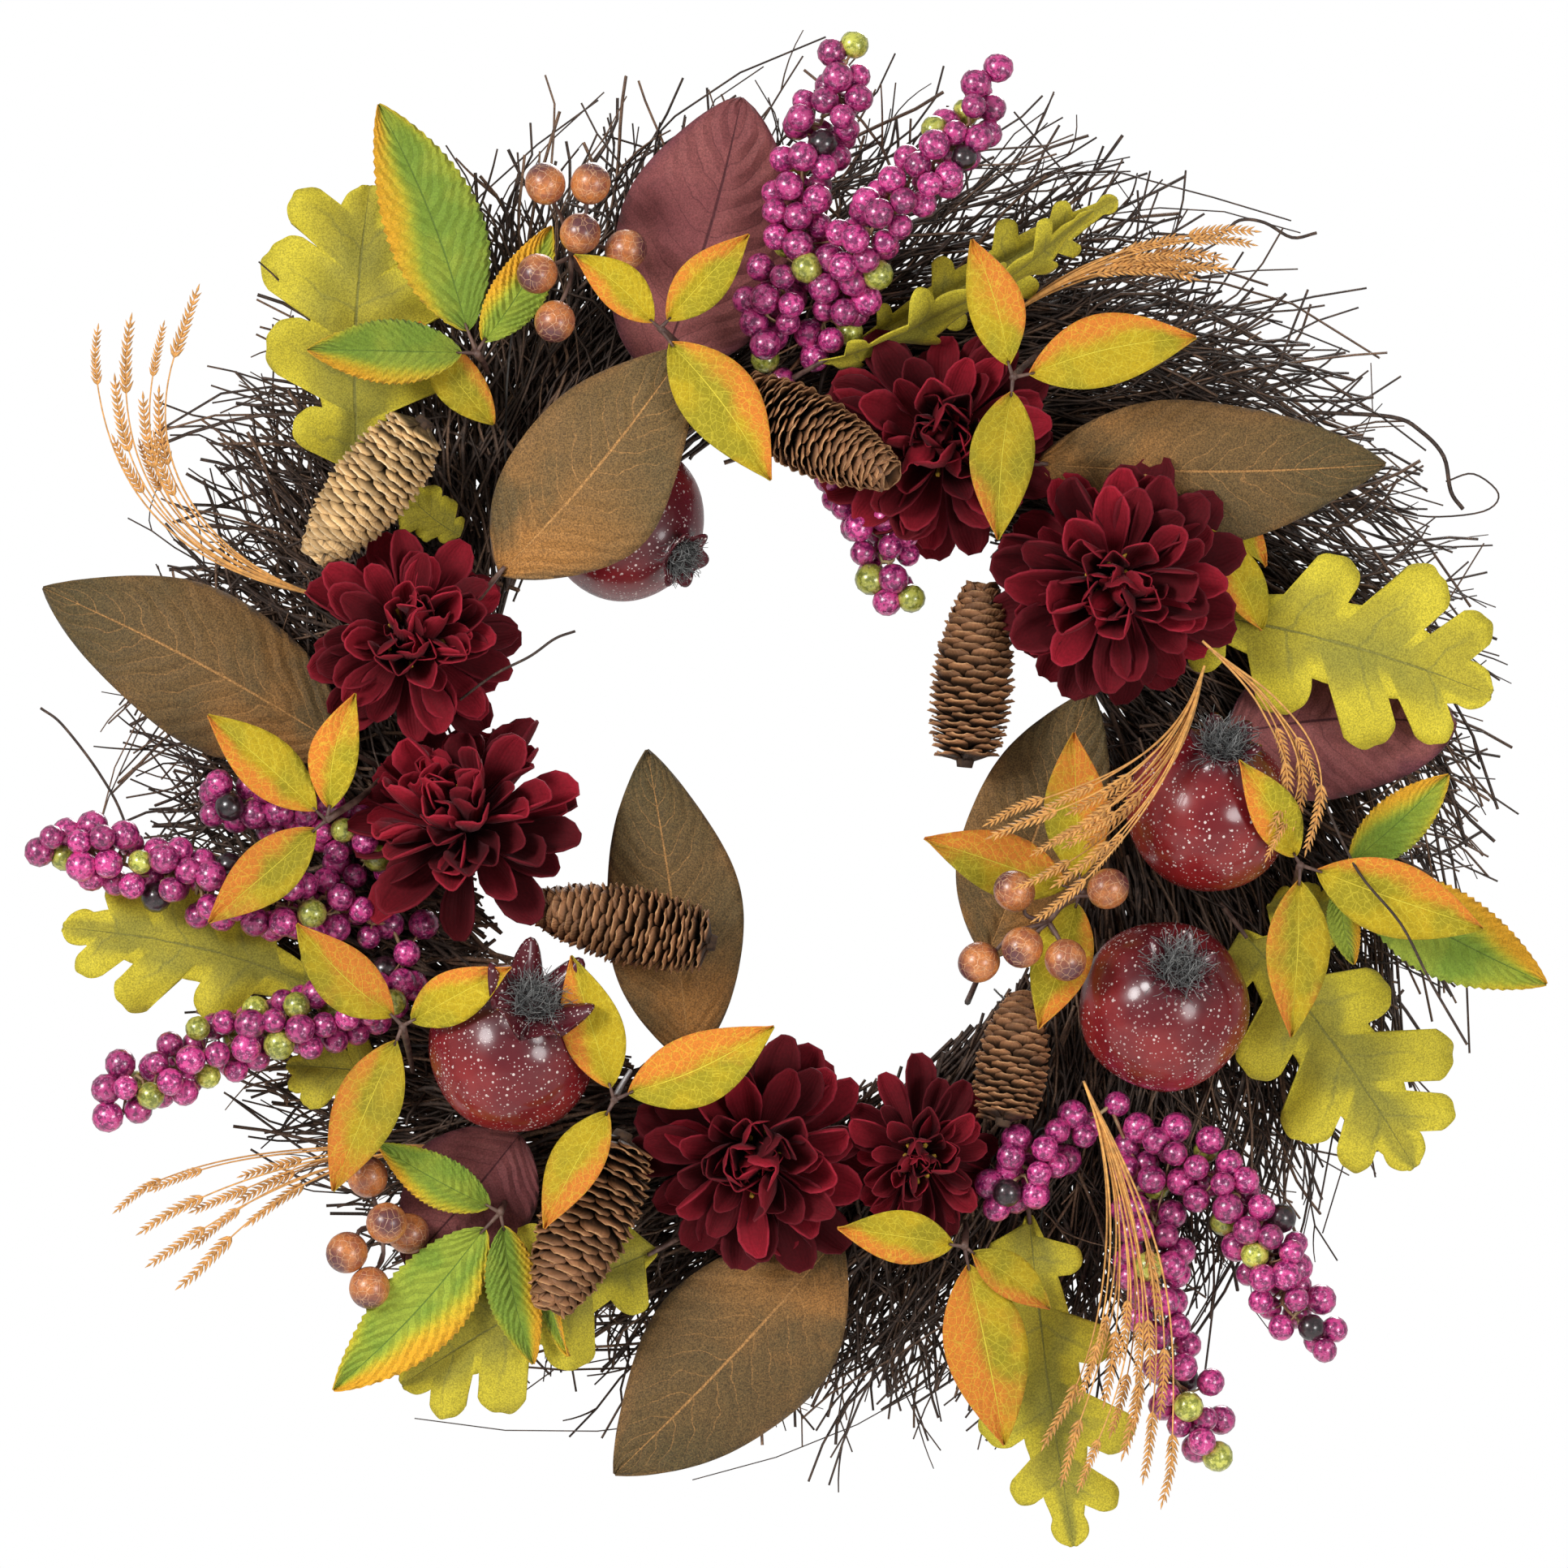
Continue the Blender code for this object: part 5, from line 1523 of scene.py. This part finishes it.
def spray_of(node):
    """The middle line of a packed wheat spray, from its narrow end, and its half width."""
    points = solid_points(node)
    middle = points.mean(0)
    along, across, ahead = np.linalg.svd(points - middle, full_matrices=False)[2]
    local = (points - middle) @ np.stack([along, across, ahead]).T
    order = np.argsort(local[:, 0])
    if np.ptp(local[order[:6], 1]) > np.ptp(local[order[-6:], 1]):
        along = -along
        local[:, 0] *= -1
    t = np.linspace(local[:, 0].min(), local[:, 0].max(), 9)
    bends = [np.polyfit(local[:, 0], local[:, k], 2) for k in (1, 2)]
    line = middle + np.outer(t, along) + sum(
        np.outer(np.polyval(bend, t), way) for bend, way in zip(bends, (across, ahead))
    )
    off = local[:, 1] - np.polyval(bends[0], local[:, 0])
    return line, np.abs(off).max()


def wheat_lines(line, half, rng, straws, ear, droop, bow):
    """Straws that fan out from a tied foot, and the grains of the ear that each ends in."""
    stems, grains = [], []
    steps = 30
    path = curve_through(line, steps)
    along = unit(np.gradient(path, axis=0))
    across = unit(np.cross(along, [0, -1, 0]))
    ahead = np.cross(across, along)
    t = np.linspace(0, 1, steps)
    path = path + across * (bow * np.sin(np.pi * t))[:, None]
    for k in range(straws):
        share = (2 * (k + 0.5) / straws - 1) * rng.uniform(0.85, 1.15)
        end = (rng.uniform(0.88, 1.0), rng.uniform(0.58, 0.74), rng.uniform(0.74, 0.88))[k % 3]
        spread = np.clip(t * 1.15, 0, 1) ** 1.35
        level = rng.uniform(-0.004, 0.004)
        sway = 0.0025 * np.sin(2 * np.pi * (t * rng.uniform(0.6, 1.2) + rng.random())) * t
        hang = droop * rng.uniform(0.3, 1.2) * np.clip((t - 0.25) / end, 0, 1) ** 2.5
        route = path + across * (share * half * spread + sway)[:, None] + ahead * (level * (0.3 + t))[:, None]
        route = route + hang[:, None] * [0, 0, -1]
        route = curve_through(route[: max(8, int(steps * end))], 32)
        arc = np.concatenate([[0], np.cumsum(np.linalg.norm(np.diff(route, axis=0), axis=1))])
        size = ear * rng.uniform(0.8, 1.15)
        rows = 11
        at = np.linspace(max(0, arc[-1] - size), arc[-1], rows)
        stems.append((route, np.linspace(1.0, 0.5, 32) * settings().straw_radius, rng.random()))
        tilt = rng.uniform(-0.5, 0.5)
        for row, place_on in enumerate(at):
            point = np.array([np.interp(place_on, arc, route[:, c]) for c in range(3)])
            i = min(int(np.searchsorted(arc, place_on)), 30)
            way = unit(route[i + 1] - route[max(0, i - 1)])
            flat = unit(np.cross(way, [0, -1, 0]))
            front = np.cross(flat, way)
            flat, front = unit(flat + front * tilt), unit(front - flat * tilt)
            length = size * 0.185 * (1.1 - 0.4 * row / rows)
            for turn in (-1, 1) if row < rows - 1 else (0,):
                leaning = unit(way + flat * turn * 0.62 + front * rng.uniform(-0.05, 0.2))
                grains.append((point, axes_along(leaning, front), length, rng.random()))
            if row % 2:
                grains.append((point, axes_along(unit(way + front * 0.55), flat), length * 0.9, rng.random()))
    return stems, grains


# How many straws a spray has, how much wider its ears spread than its packed solid, how far they hang and how far
# the whole spray bows
WHEAT_FANS = {
    "wheat_spray_1": (10, 1.35, 0.0, -0.026),
    "wheat_spray_2": (12, 1.2, 0.0, 0.0),
    "wheat_spray_3": (13, 1.6, 0.022, 0.0),
    "wheat_spray_4": (16, 1.75, 0.0, 0.0),
    "wheat_spray_5": (10, 1.30, 0.010, 0.0),
}


# A second fork of one spray, and the lengths of an ear
FORKED_SPRAY = "wheat_spray_3"
WHEAT_FORK = ((169, 53, 84), (195, 28, 92), (208, -2, 100), (195, -40, 106))
EAR, FORK_EAR = 0.025, 0.024


def make_wheat():
    """Dyed wheat: fans of straws that end in small herringbone ears."""
    rng = np.random.default_rng(33)
    fork = np.array([at_front(*p) for p in WHEAT_FORK])
    for node in nodes_named("wheat_spray"):
        line, half = spray_of(node)
        straws, widen, droop, bow = WHEAT_FANS[node]
        stems, grains = wheat_lines(line, half * widen, rng, straws, EAR, droop, bow)
        if node == FORKED_SPRAY:
            more = wheat_lines(fork, 0.014, rng, 6, FORK_EAR, 0.010, 0.0)
            stems, grains = stems + more[0], grains + more[1]
        finish = wheat_finish()
        settle(strands(node + "_straws", stems, finish, 5), "wheat", node)
        places, axes, sizes, tints = zip(*grains)
        grain = [grain_piece("grain", finish)]
        settle(scattered(node + "_ears", places, axes, sizes, tints, grain, finish), "wheat")


# ---------------------------------------------------------------- frame and twigs


FRAME_BARS = 8
BAR_R, BAR_DEPTH = 0.0010, 0.0006
LOOP_WIRE_R = 0.001
# The gap between the ring's wire and the eye round it
EYE_CLEARANCE = 0.0006


def make_frame():
    """The welded wire frame, in smooth wire, and the wire that binds the twigs to it."""
    rings = []
    for radius in (INNER_RING_R, OUTER_RING_R):
        angles = np.linspace(0, 2 * np.pi, 160, endpoint=False)
        rings.append((on_ring(angles, radius, 0.0), RING_WIRE_R, 0.5))
    wire = strands("wire_frame_rings", rings, wire_finish("frame"), 12, closed=True)
    settle(wire, "frame_wire", "wire_frame")
    bars = []
    for k in range(FRAME_BARS):
        angle = 2 * math.pi * (k + 0.5) / FRAME_BARS
        bars.append((on_ring(angle, np.linspace(INNER_RING_R, OUTER_RING_R, 6), BAR_DEPTH), BAR_R, 0.5))
    settle(strands("wire_frame_bars", bars, wire_finish("frame"), 8), "frame_wire")
    node = frame["nodes"]["binding_wire"]
    for slot in node.material_slots:
        slot.material = wire_finish("binding")


def make_hanger():
    """The hanging loop: one wire with an open eye at each foot round the outer ring, and a bow between them."""
    _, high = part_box("hanger_loop")
    hinge = hinge_of("hanger_hinge")
    eye_r = RING_WIRE_R + EYE_CLEARANCE + LOOP_WIRE_R
    crown_r = high.x - LOOP_WIRE_R
    foot_x = crown_r - 2 * LOOP_WIRE_R
    turns = np.radians(np.linspace(-230, -10, 34))
    left = [
        np.stack([np.full(34, -foot_x), -eye_r * np.sin(turns), hinge[2] + eye_r * np.cos(turns)], axis=-1),
        np.array([[-foot_x, 0, hinge[2] + eye_r + 0.002], [-crown_r + 0.0006, 0, hinge[2] + 0.0085]]),
    ]
    left = np.concatenate(left)
    bend = np.radians(np.linspace(180, 0, 19))
    bow_z = high.z - LOOP_WIRE_R - crown_r
    bow = np.stack([crown_r * np.cos(bend), 0 * bend, bow_z + crown_r * np.sin(bend)], axis=-1)
    right = left[::-1] * [-1, 1, 1]
    path = np.concatenate([left, bow, right])
    path[:, 1] += hinge[1]
    loop = strands("hanger_wire", [(path, LOOP_WIRE_R, 0.5)], wire_finish("loop"), 12)
    settle(loop, "hanger_wire", "hanger_loop", body=LOOP)


def hinge_of(name):
    """Where a joint's axis passes, from the packed record."""
    return np.array(next(joint["pos_m"] for joint in frame["joints"] if joint["name"] == name), float)


def tip_fit():
    """How far the packed bunches' tips reach at each clock angle, as a + b sin + c cos."""
    points = np.concatenate([solid_points(node) for node in nodes_named("twig_bunch")])
    angle = np.arctan2(points[:, 0], points[:, 2] - RING_Z)
    out = np.hypot(points[:, 0], points[:, 2] - RING_Z)
    far = out > 0.235
    terms = np.stack([np.ones(far.sum()), np.sin(angle[far]), np.cos(angle[far])], axis=1)
    return np.linalg.lstsq(terms, out[far], rcond=None)[0]


# The tips lean most at this clock angle. Elsewhere they stand straighter out from the ring, by up to this much
LEAN_MOST_AT = math.radians(70)
LEAN_UPRIGHT = math.radians(27)


# A group of twigs: its share of the whole number, the points along each twig, how far the tips reach as a share of
# the packed bunches' reach, the lean in degrees at the frame and at the tips, how much a twig strays, and its girth
# and taper
TwigGroup = namedtuple("TwigGroup", "share points reach lean_in lean_out stray girth taper")
TWIG_GROUPS = (
    TwigGroup(0.56, 13, (0.80, 1.0), lean_in=62, lean_out=38, stray=0.02, girth=(0.48, 0.98), taper=0.80),
    TwigGroup(0.15, 10, (0.88, 1.04), lean_in=60, lean_out=34, stray=0.04, girth=(0.42, 0.80), taper=0.66),
    TwigGroup(0.29, 6, (0.56, 0.80), lean_in=68, lean_out=50, stray=0.02, girth=(0.6, 1.15), taper=0.70),
    TwigGroup(0.01, 14, (0.94, 1.03), lean_in=50, lean_out=40, stray=0.16, girth=(0.30, 0.48), taper=0.60),
)
TWIGS_PER_TUFT = 9
SHOOT_SHARE = 0.32


def twig_paths(rng, count, group):
    """Clock angles, radii and depths along twigs that set out near the frame and fan out clockwise, in tufts."""
    points, reach = group.points, rng.uniform(*group.reach, count)
    lean_in, lean_out = math.radians(group.lean_in), math.radians(group.lean_out)
    fit = tip_fit()
    tufts = max(8, count // TWIGS_PER_TUFT)
    tuft = rng.integers(0, tufts, count)
    start_r = rng.uniform(0.127, 0.178, count)
    start_a = rng.uniform(0, 2 * np.pi, tufts)[tuft] + rng.normal(size=count) * 0.042
    swing = (rng.normal(size=tufts) * math.radians(9))[tuft] + rng.normal(size=count) * math.radians(6)
    left = np.clip(-np.sin(start_a + 0.5), 0, 1)
    swing[(rng.random(tufts)[tuft] < 0.05 + 0.20 * left)] -= math.radians(42)
    t = np.linspace(0, 1, points)
    tip_at = start_a + 0.45
    limit = fit[0] + fit[1] * np.sin(tip_at) + fit[2] * np.cos(tip_at)
    end_r = limit * reach * (1 + rng.normal(size=tufts) * 0.035)[tuft]
    end_r = np.clip(end_r, start_r + 0.015, limit * 1.09)
    radius = start_r[:, None] + (end_r - start_r)[:, None] * t**0.92
    upright = LEAN_UPRIGHT * (1 - np.clip(np.cos(tip_at - LEAN_MOST_AT), 0, 1))
    end_lean = (lean_out - upright)[:, None]
    lean = lean_in + (end_lean - lean_in) * np.clip((radius - 0.13) / 0.14, 0, 1) + swing[:, None]
    curl = rng.normal(size=tufts)[tuft] * 0.30 + rng.normal(size=count) * 0.16
    snake = rng.normal(size=(2, count))
    bend = curl[:, None] * t**2 + snake[0][:, None] * 0.30 * np.sin(5 * t)
    bend = bend + snake[1][:, None] * 0.26 * np.sin(9 * t + 1)
    wander = np.cumsum(rng.normal(size=(count, points)) * (0.045 + group.stray), axis=1)
    lean = np.clip(lean + wander + bend, -1.25, 1.25)
    step_r = np.diff(radius, axis=1)
    turn = np.tan((lean[:, 1:] + lean[:, :-1]) / 2) * step_r / ((radius[:, 1:] + radius[:, :-1]) / 2)
    angle = start_a[:, None] + np.concatenate([np.zeros((count, 1)), np.cumsum(turn, axis=1)], axis=1)
    depth_in = 0.0035 + 0.0300 * rng.random(count) ** 0.85
    depth_out = rng.uniform(0.006, 0.024, count) + rng.normal(size=count) * 0.004
    depth = depth_in[:, None] * (1 - t) ** 1.2 + depth_out[:, None] * (1 - (1 - t) ** 1.2)
    depth = depth + np.cumsum(rng.normal(size=(count, points)) * 0.0014, axis=1)
    return angle, radius, np.clip(depth, 0.0032, 0.036)


# The twigs are parted this far from the middle of the loop's feet, over this much of a slope and to this depth
PARTED_X, PARTED_Z = 0.024, 0.030
SLOPE_X, SLOPE_Z = 0.010, 0.014
PARTED_DEPTH = 0.0105


def clear_of_hanger(points):
    """Parts the twigs where the loop's eyes go round the frame."""
    near_x = np.clip((PARTED_X - np.abs(points[:, 0])) / SLOPE_X, 0, 1)
    near_z = np.clip((PARTED_Z - np.abs(points[:, 2] - (RING_Z + OUTER_RING_R))) / SLOPE_Z, 0, 1)
    depth = np.maximum(-points[:, 1], PARTED_DEPTH * near_x * near_z)
    return np.stack([points[:, 0], -depth, points[:, 2]], axis=1)


# Stems that curl free of the bunches: points and radius
STRAY_STEMS = (
    (((-126, 30, 66), (-112, 40, 74), (-98, 47, 80), (-88, 54, 82), (-80, 57, 80)), 0.0006),
    (((213, 6, 60), (217, -10, 86), (230, -38, 93), (247, -59, 94), (259, -82, 90), (274, -107, 80)), 0.0006),
    (((214, 146, 20), (247, 144, 24), (259, 138, 26), (268, 128, 26), (271, 114, 24), (276, 107, 22)), 0.0009),
    (((269, 118, 24), (280, 121, 26), (290, 113, 26), (284, 106, 24), (262, 104, 20), (244, 108, 18)), 0.0004),
    (((150, 218, 20), (176, 217, 22), (186, 223, 24), (196, 222, 26), (207, 216, 26), (217, 218, 24)), 0.0007),
    (((-252, -58, 18), (-262, -20, 20), (-272, 0, 22), (-287, 20, 24), (-296, 27, 24)), 0.0006),
    (((-188, 160, 20), (-184, 172, 22), (-186, 182, 22), (-194, 192, 24), (-202, 200, 24)), 0.0004),
    (((-170, 176, 20), (-174, 190, 22), (-181, 202, 24), (-183, 216, 24)), 0.0004),
)


def make_twigs():
    """The twig bunches: long twigs with side shoots, short ones packed in the core, and a few curling strays."""
    s = settings()
    rng = np.random.default_rng(41)
    lines = []
    for group in TWIG_GROUPS:
        count, points = int(s.twig_count * group.share), group.points
        routes = on_ring(*twig_paths(rng, count, group))
        thick = s.twig_radius * rng.uniform(*group.girth, count)
        # About a third of the twigs get a high shade, which the bark paints lighter: partly a random bark tone, partly
        # a painted highlight of lit twigs
        shade = np.where(rng.random(count) < 0.34, rng.uniform(0.4, 1.0, count), rng.uniform(0, 0.35, count))
        narrowing = np.linspace(1.0, group.taper, points)
        for i in range(count):
            route = clear_of_hanger(routes[i])
            lines.append((route, thick[i] * narrowing, shade[i]))
            for _ in range(int(rng.random() < SHOOT_SHARE)):
                k = int(points * rng.uniform(0.55, 0.9))
                way = unit(route[k] - route[k - 1])
                bend = rng.choice([-1, 1]) * math.radians(rng.uniform(10, 28))
                way = way * math.cos(bend) + np.cross(way, [0, 1, 0]) * math.sin(bend)
                run = rng.uniform(0.010, 0.028)
                reach_out = np.linspace(0, 1, 5)[:, None]
                sag = np.cross(way, [0, 1, 0]) * rng.normal() * 0.22
                shoot = route[k] + run * (way * reach_out + sag * reach_out**2)
                shoot[:, 1] = np.minimum(shoot[:, 1] + rng.normal() * 0.003 * reach_out[:, 0], -0.0032)
                lines.append((clear_of_hanger(shoot), thick[i] * np.linspace(0.66, 0.42, 5), shade[i]))
    starts = np.array([line[0][2] for line in lines])
    clock = np.arctan2(starts[:, 0], starts[:, 2] - RING_Z) % (2 * np.pi)
    quarter = ((clock / (2 * np.pi) * 4 - 0.5).astype(int)) % 4
    quarter[clock < math.pi / 4] = 3
    for k, node in enumerate(nodes_named("twig_bunch")):
        chosen = [line for line, own in zip(lines, quarter) if own == k]
        settle(strands(node + "_twigs", chosen, bark_finish(), 3), "twig", node)
    loose = [(curve_through([at_front(*p) for p in points], 26), girth, 0.2) for points, girth in STRAY_STEMS]
    settle(strands("stray_stems", loose, bark_finish(), 5), "twig")


# ---------------------------------------------------------------- stage


def area_light(name, place_at, target, size, power):
    data = bpy.data.lights.new(name, "AREA")
    data.shape = "DISK"
    data.size = size
    data.energy = power
    lamp = link(bpy.data.objects.new(name, data))
    lamp.location = place_at
    lamp.rotation_euler = (Vector(target) - Vector(place_at)).to_track_quat("-Z", "Y").to_euler()


# The middle of the view, from the ring's middle
VIEW_X, VIEW_Z = 0.0029, -0.0036
# How wide the view is, at this depth in front of the frame
VIEW_WIDTH, VIEW_DEPTH = 0.626, 0.055
CAMERA_DISTANCE = 4.5
SENSOR_MM = 36
FLOOR_DROP, FLOOR_SIDE, FLOOR_THICKNESS = 0.909, 3.0, 0.01
# The strength of the white surround as a light. The camera sees it at full white
WORLD_LIGHT = 0.48
# Each lamp's place, with its height above the ring's middle, its size and its power in watts
LAMPS = (
    ("key_lamp", (-1.7, -2.1, 0.9), 0.9, 56),
    ("fill_lamp", (1.6, -2.3, -0.2), 0.9, 27),
    ("back_lamp", (0.3, 1.5, 1.1), 1.0, 26),
)


def make_stage():
    """A pale floor well below the wreath, a white surround, two soft lamps and the camera in front."""
    scene = bpy.context.scene
    scene.view_settings.view_transform = "Standard"
    middle = Vector((VIEW_X, 0.0, RING_Z + VIEW_Z))
    world = bpy.data.worlds.new("Studio")
    scene.world = world
    world.use_nodes = True
    nodes, links = world.node_tree.nodes, world.node_tree.links
    back = nodes["Background"]
    back.inputs["Color"].default_value = (1, 1, 1, 1)
    back.inputs["Strength"].default_value = WORLD_LIGHT
    seen = nodes.new("ShaderNodeBackground")
    seen.inputs["Color"].default_value = (1, 1, 1, 1)
    seen.inputs["Strength"].default_value = 1.0
    path = nodes.new("ShaderNodeLightPath")
    share = nodes.new("ShaderNodeMixShader")
    links.new(path.outputs["Is Camera Ray"], share.inputs[0])
    links.new(back.outputs[0], share.inputs[1])
    links.new(seen.outputs[0], share.inputs[2])
    links.new(share.outputs[0], nodes["World Output"].inputs["Surface"])

    u, s = leaf_grid(2, 2)
    points = np.stack([(u - 0.5) * FLOOR_SIDE, s * FLOOR_SIDE / 2, np.full_like(u, RING_Z - FLOOR_DROP)], axis=-1)
    piece("floor", [sheet(points, FLOOR_THICKNESS)], [floor_finish()], smooth=False)

    for name, (x, y, above), size, power in LAMPS:
        area_light(name, (x, y, RING_Z + above), middle, size, power)

    data = bpy.data.cameras.new("Camera")
    camera = link(bpy.data.objects.new("Camera", data))
    camera.location = (middle.x, -CAMERA_DISTANCE, middle.z)
    camera.rotation_euler = (math.pi / 2, 0, 0)
    data.sensor_width = SENSOR_MM
    data.lens = SENSOR_MM * (CAMERA_DISTANCE - VIEW_DEPTH) / VIEW_WIDTH
    data.clip_start = 0.05
    data.clip_end = 30
    scene.camera = camera


# ---------------------------------------------------------------- operators and panel


def step_operator(name, label, purpose, action):
    """An operator class that runs one making step."""

    def execute(self, context):
        action()
        return {"FINISHED"}

    members = {"__doc__": purpose, "bl_idname": "wreath." + name, "bl_label": label, "execute": execute}
    return type("WREATH_OT_" + name, (bpy.types.Operator,), members)


STEPS = [
    step_operator("frame", "Wire frame", "Bends the two rings of the wire frame and welds its cross bars", make_frame),
    step_operator("hanger", "Hanging loop", "Bends the loop that hinges on the back of the frame", make_hanger),
    step_operator("twigs", "Twigs", "Binds the four bunches of twigs", make_twigs),
    step_operator("brown_leaves", "Brown leaves", "Makes the brown magnolia leaves", make_brown_leaves),
    step_operator("burgundy_leaves", "Burgundy leaves", "Makes the burgundy leaves", make_burgundy_leaves),
    step_operator("oak_leaves", "Oak leaves", "Makes the lobed oak leaves", make_oak_leaves),
    step_operator("yellow_sprigs", "Yellow sprigs", "Makes the sprigs of small yellow leaves", make_yellow_sprigs),
    step_operator("green_sprigs", "Green sprigs", "Makes the sprigs of toothed green leaves", make_green_sprigs),
    step_operator("mums", "Chrysanthemums", "Sets the petals of the chrysanthemums", make_mums),
    step_operator("pomegranates", "Pomegranates", "Moulds the pomegranates and their tufts", make_pomegranates),
    step_operator("cones", "Cones", "Sets the scales of the spruce cones", make_cones),
    step_operator("berry_picks", "Pink berries", "Threads the sprays of small berries", make_berry_picks),
    step_operator("brown_berries", "Brown berries", "Makes the large berries and their stalks", make_brown_berries),
    step_operator("wheat", "Wheat", "Ties the sprays of wheat", make_wheat),
    step_operator("stage", "Stage", "Sets the floor, the lamps and the camera", make_stage),
]


class WREATH_PT_sidebar(bpy.types.Panel):
    """The steps that make the wreath, and its sizes and colours"""

    bl_label = "Harvest Door Wreath"
    bl_idname = "WREATH_PT_sidebar"
    bl_space_type = "VIEW_3D"
    bl_region_type = "UI"
    bl_category = "Wreath"

    def draw(self, context):
        for made in STEPS:
            self.layout.operator(made.bl_idname)
        for name in WreathSettings.__annotations__:
            self.layout.prop(context.scene.wreath, name)


CLASSES = [WreathSettings, *STEPS, WREATH_PT_sidebar]


def register():
    for made in CLASSES:
        bpy.utils.register_class(made)
    bpy.types.Scene.wreath = bpy.props.PointerProperty(type=WreathSettings)


def unregister():
    del bpy.types.Scene.wreath
    for made in reversed(CLASSES):
        bpy.utils.unregister_class(made)


def main():
    register()
    for made in STEPS:
        getattr(bpy.ops.wreath, made.bl_idname.split(".")[1])()


if __name__ == "__main__":
    main()
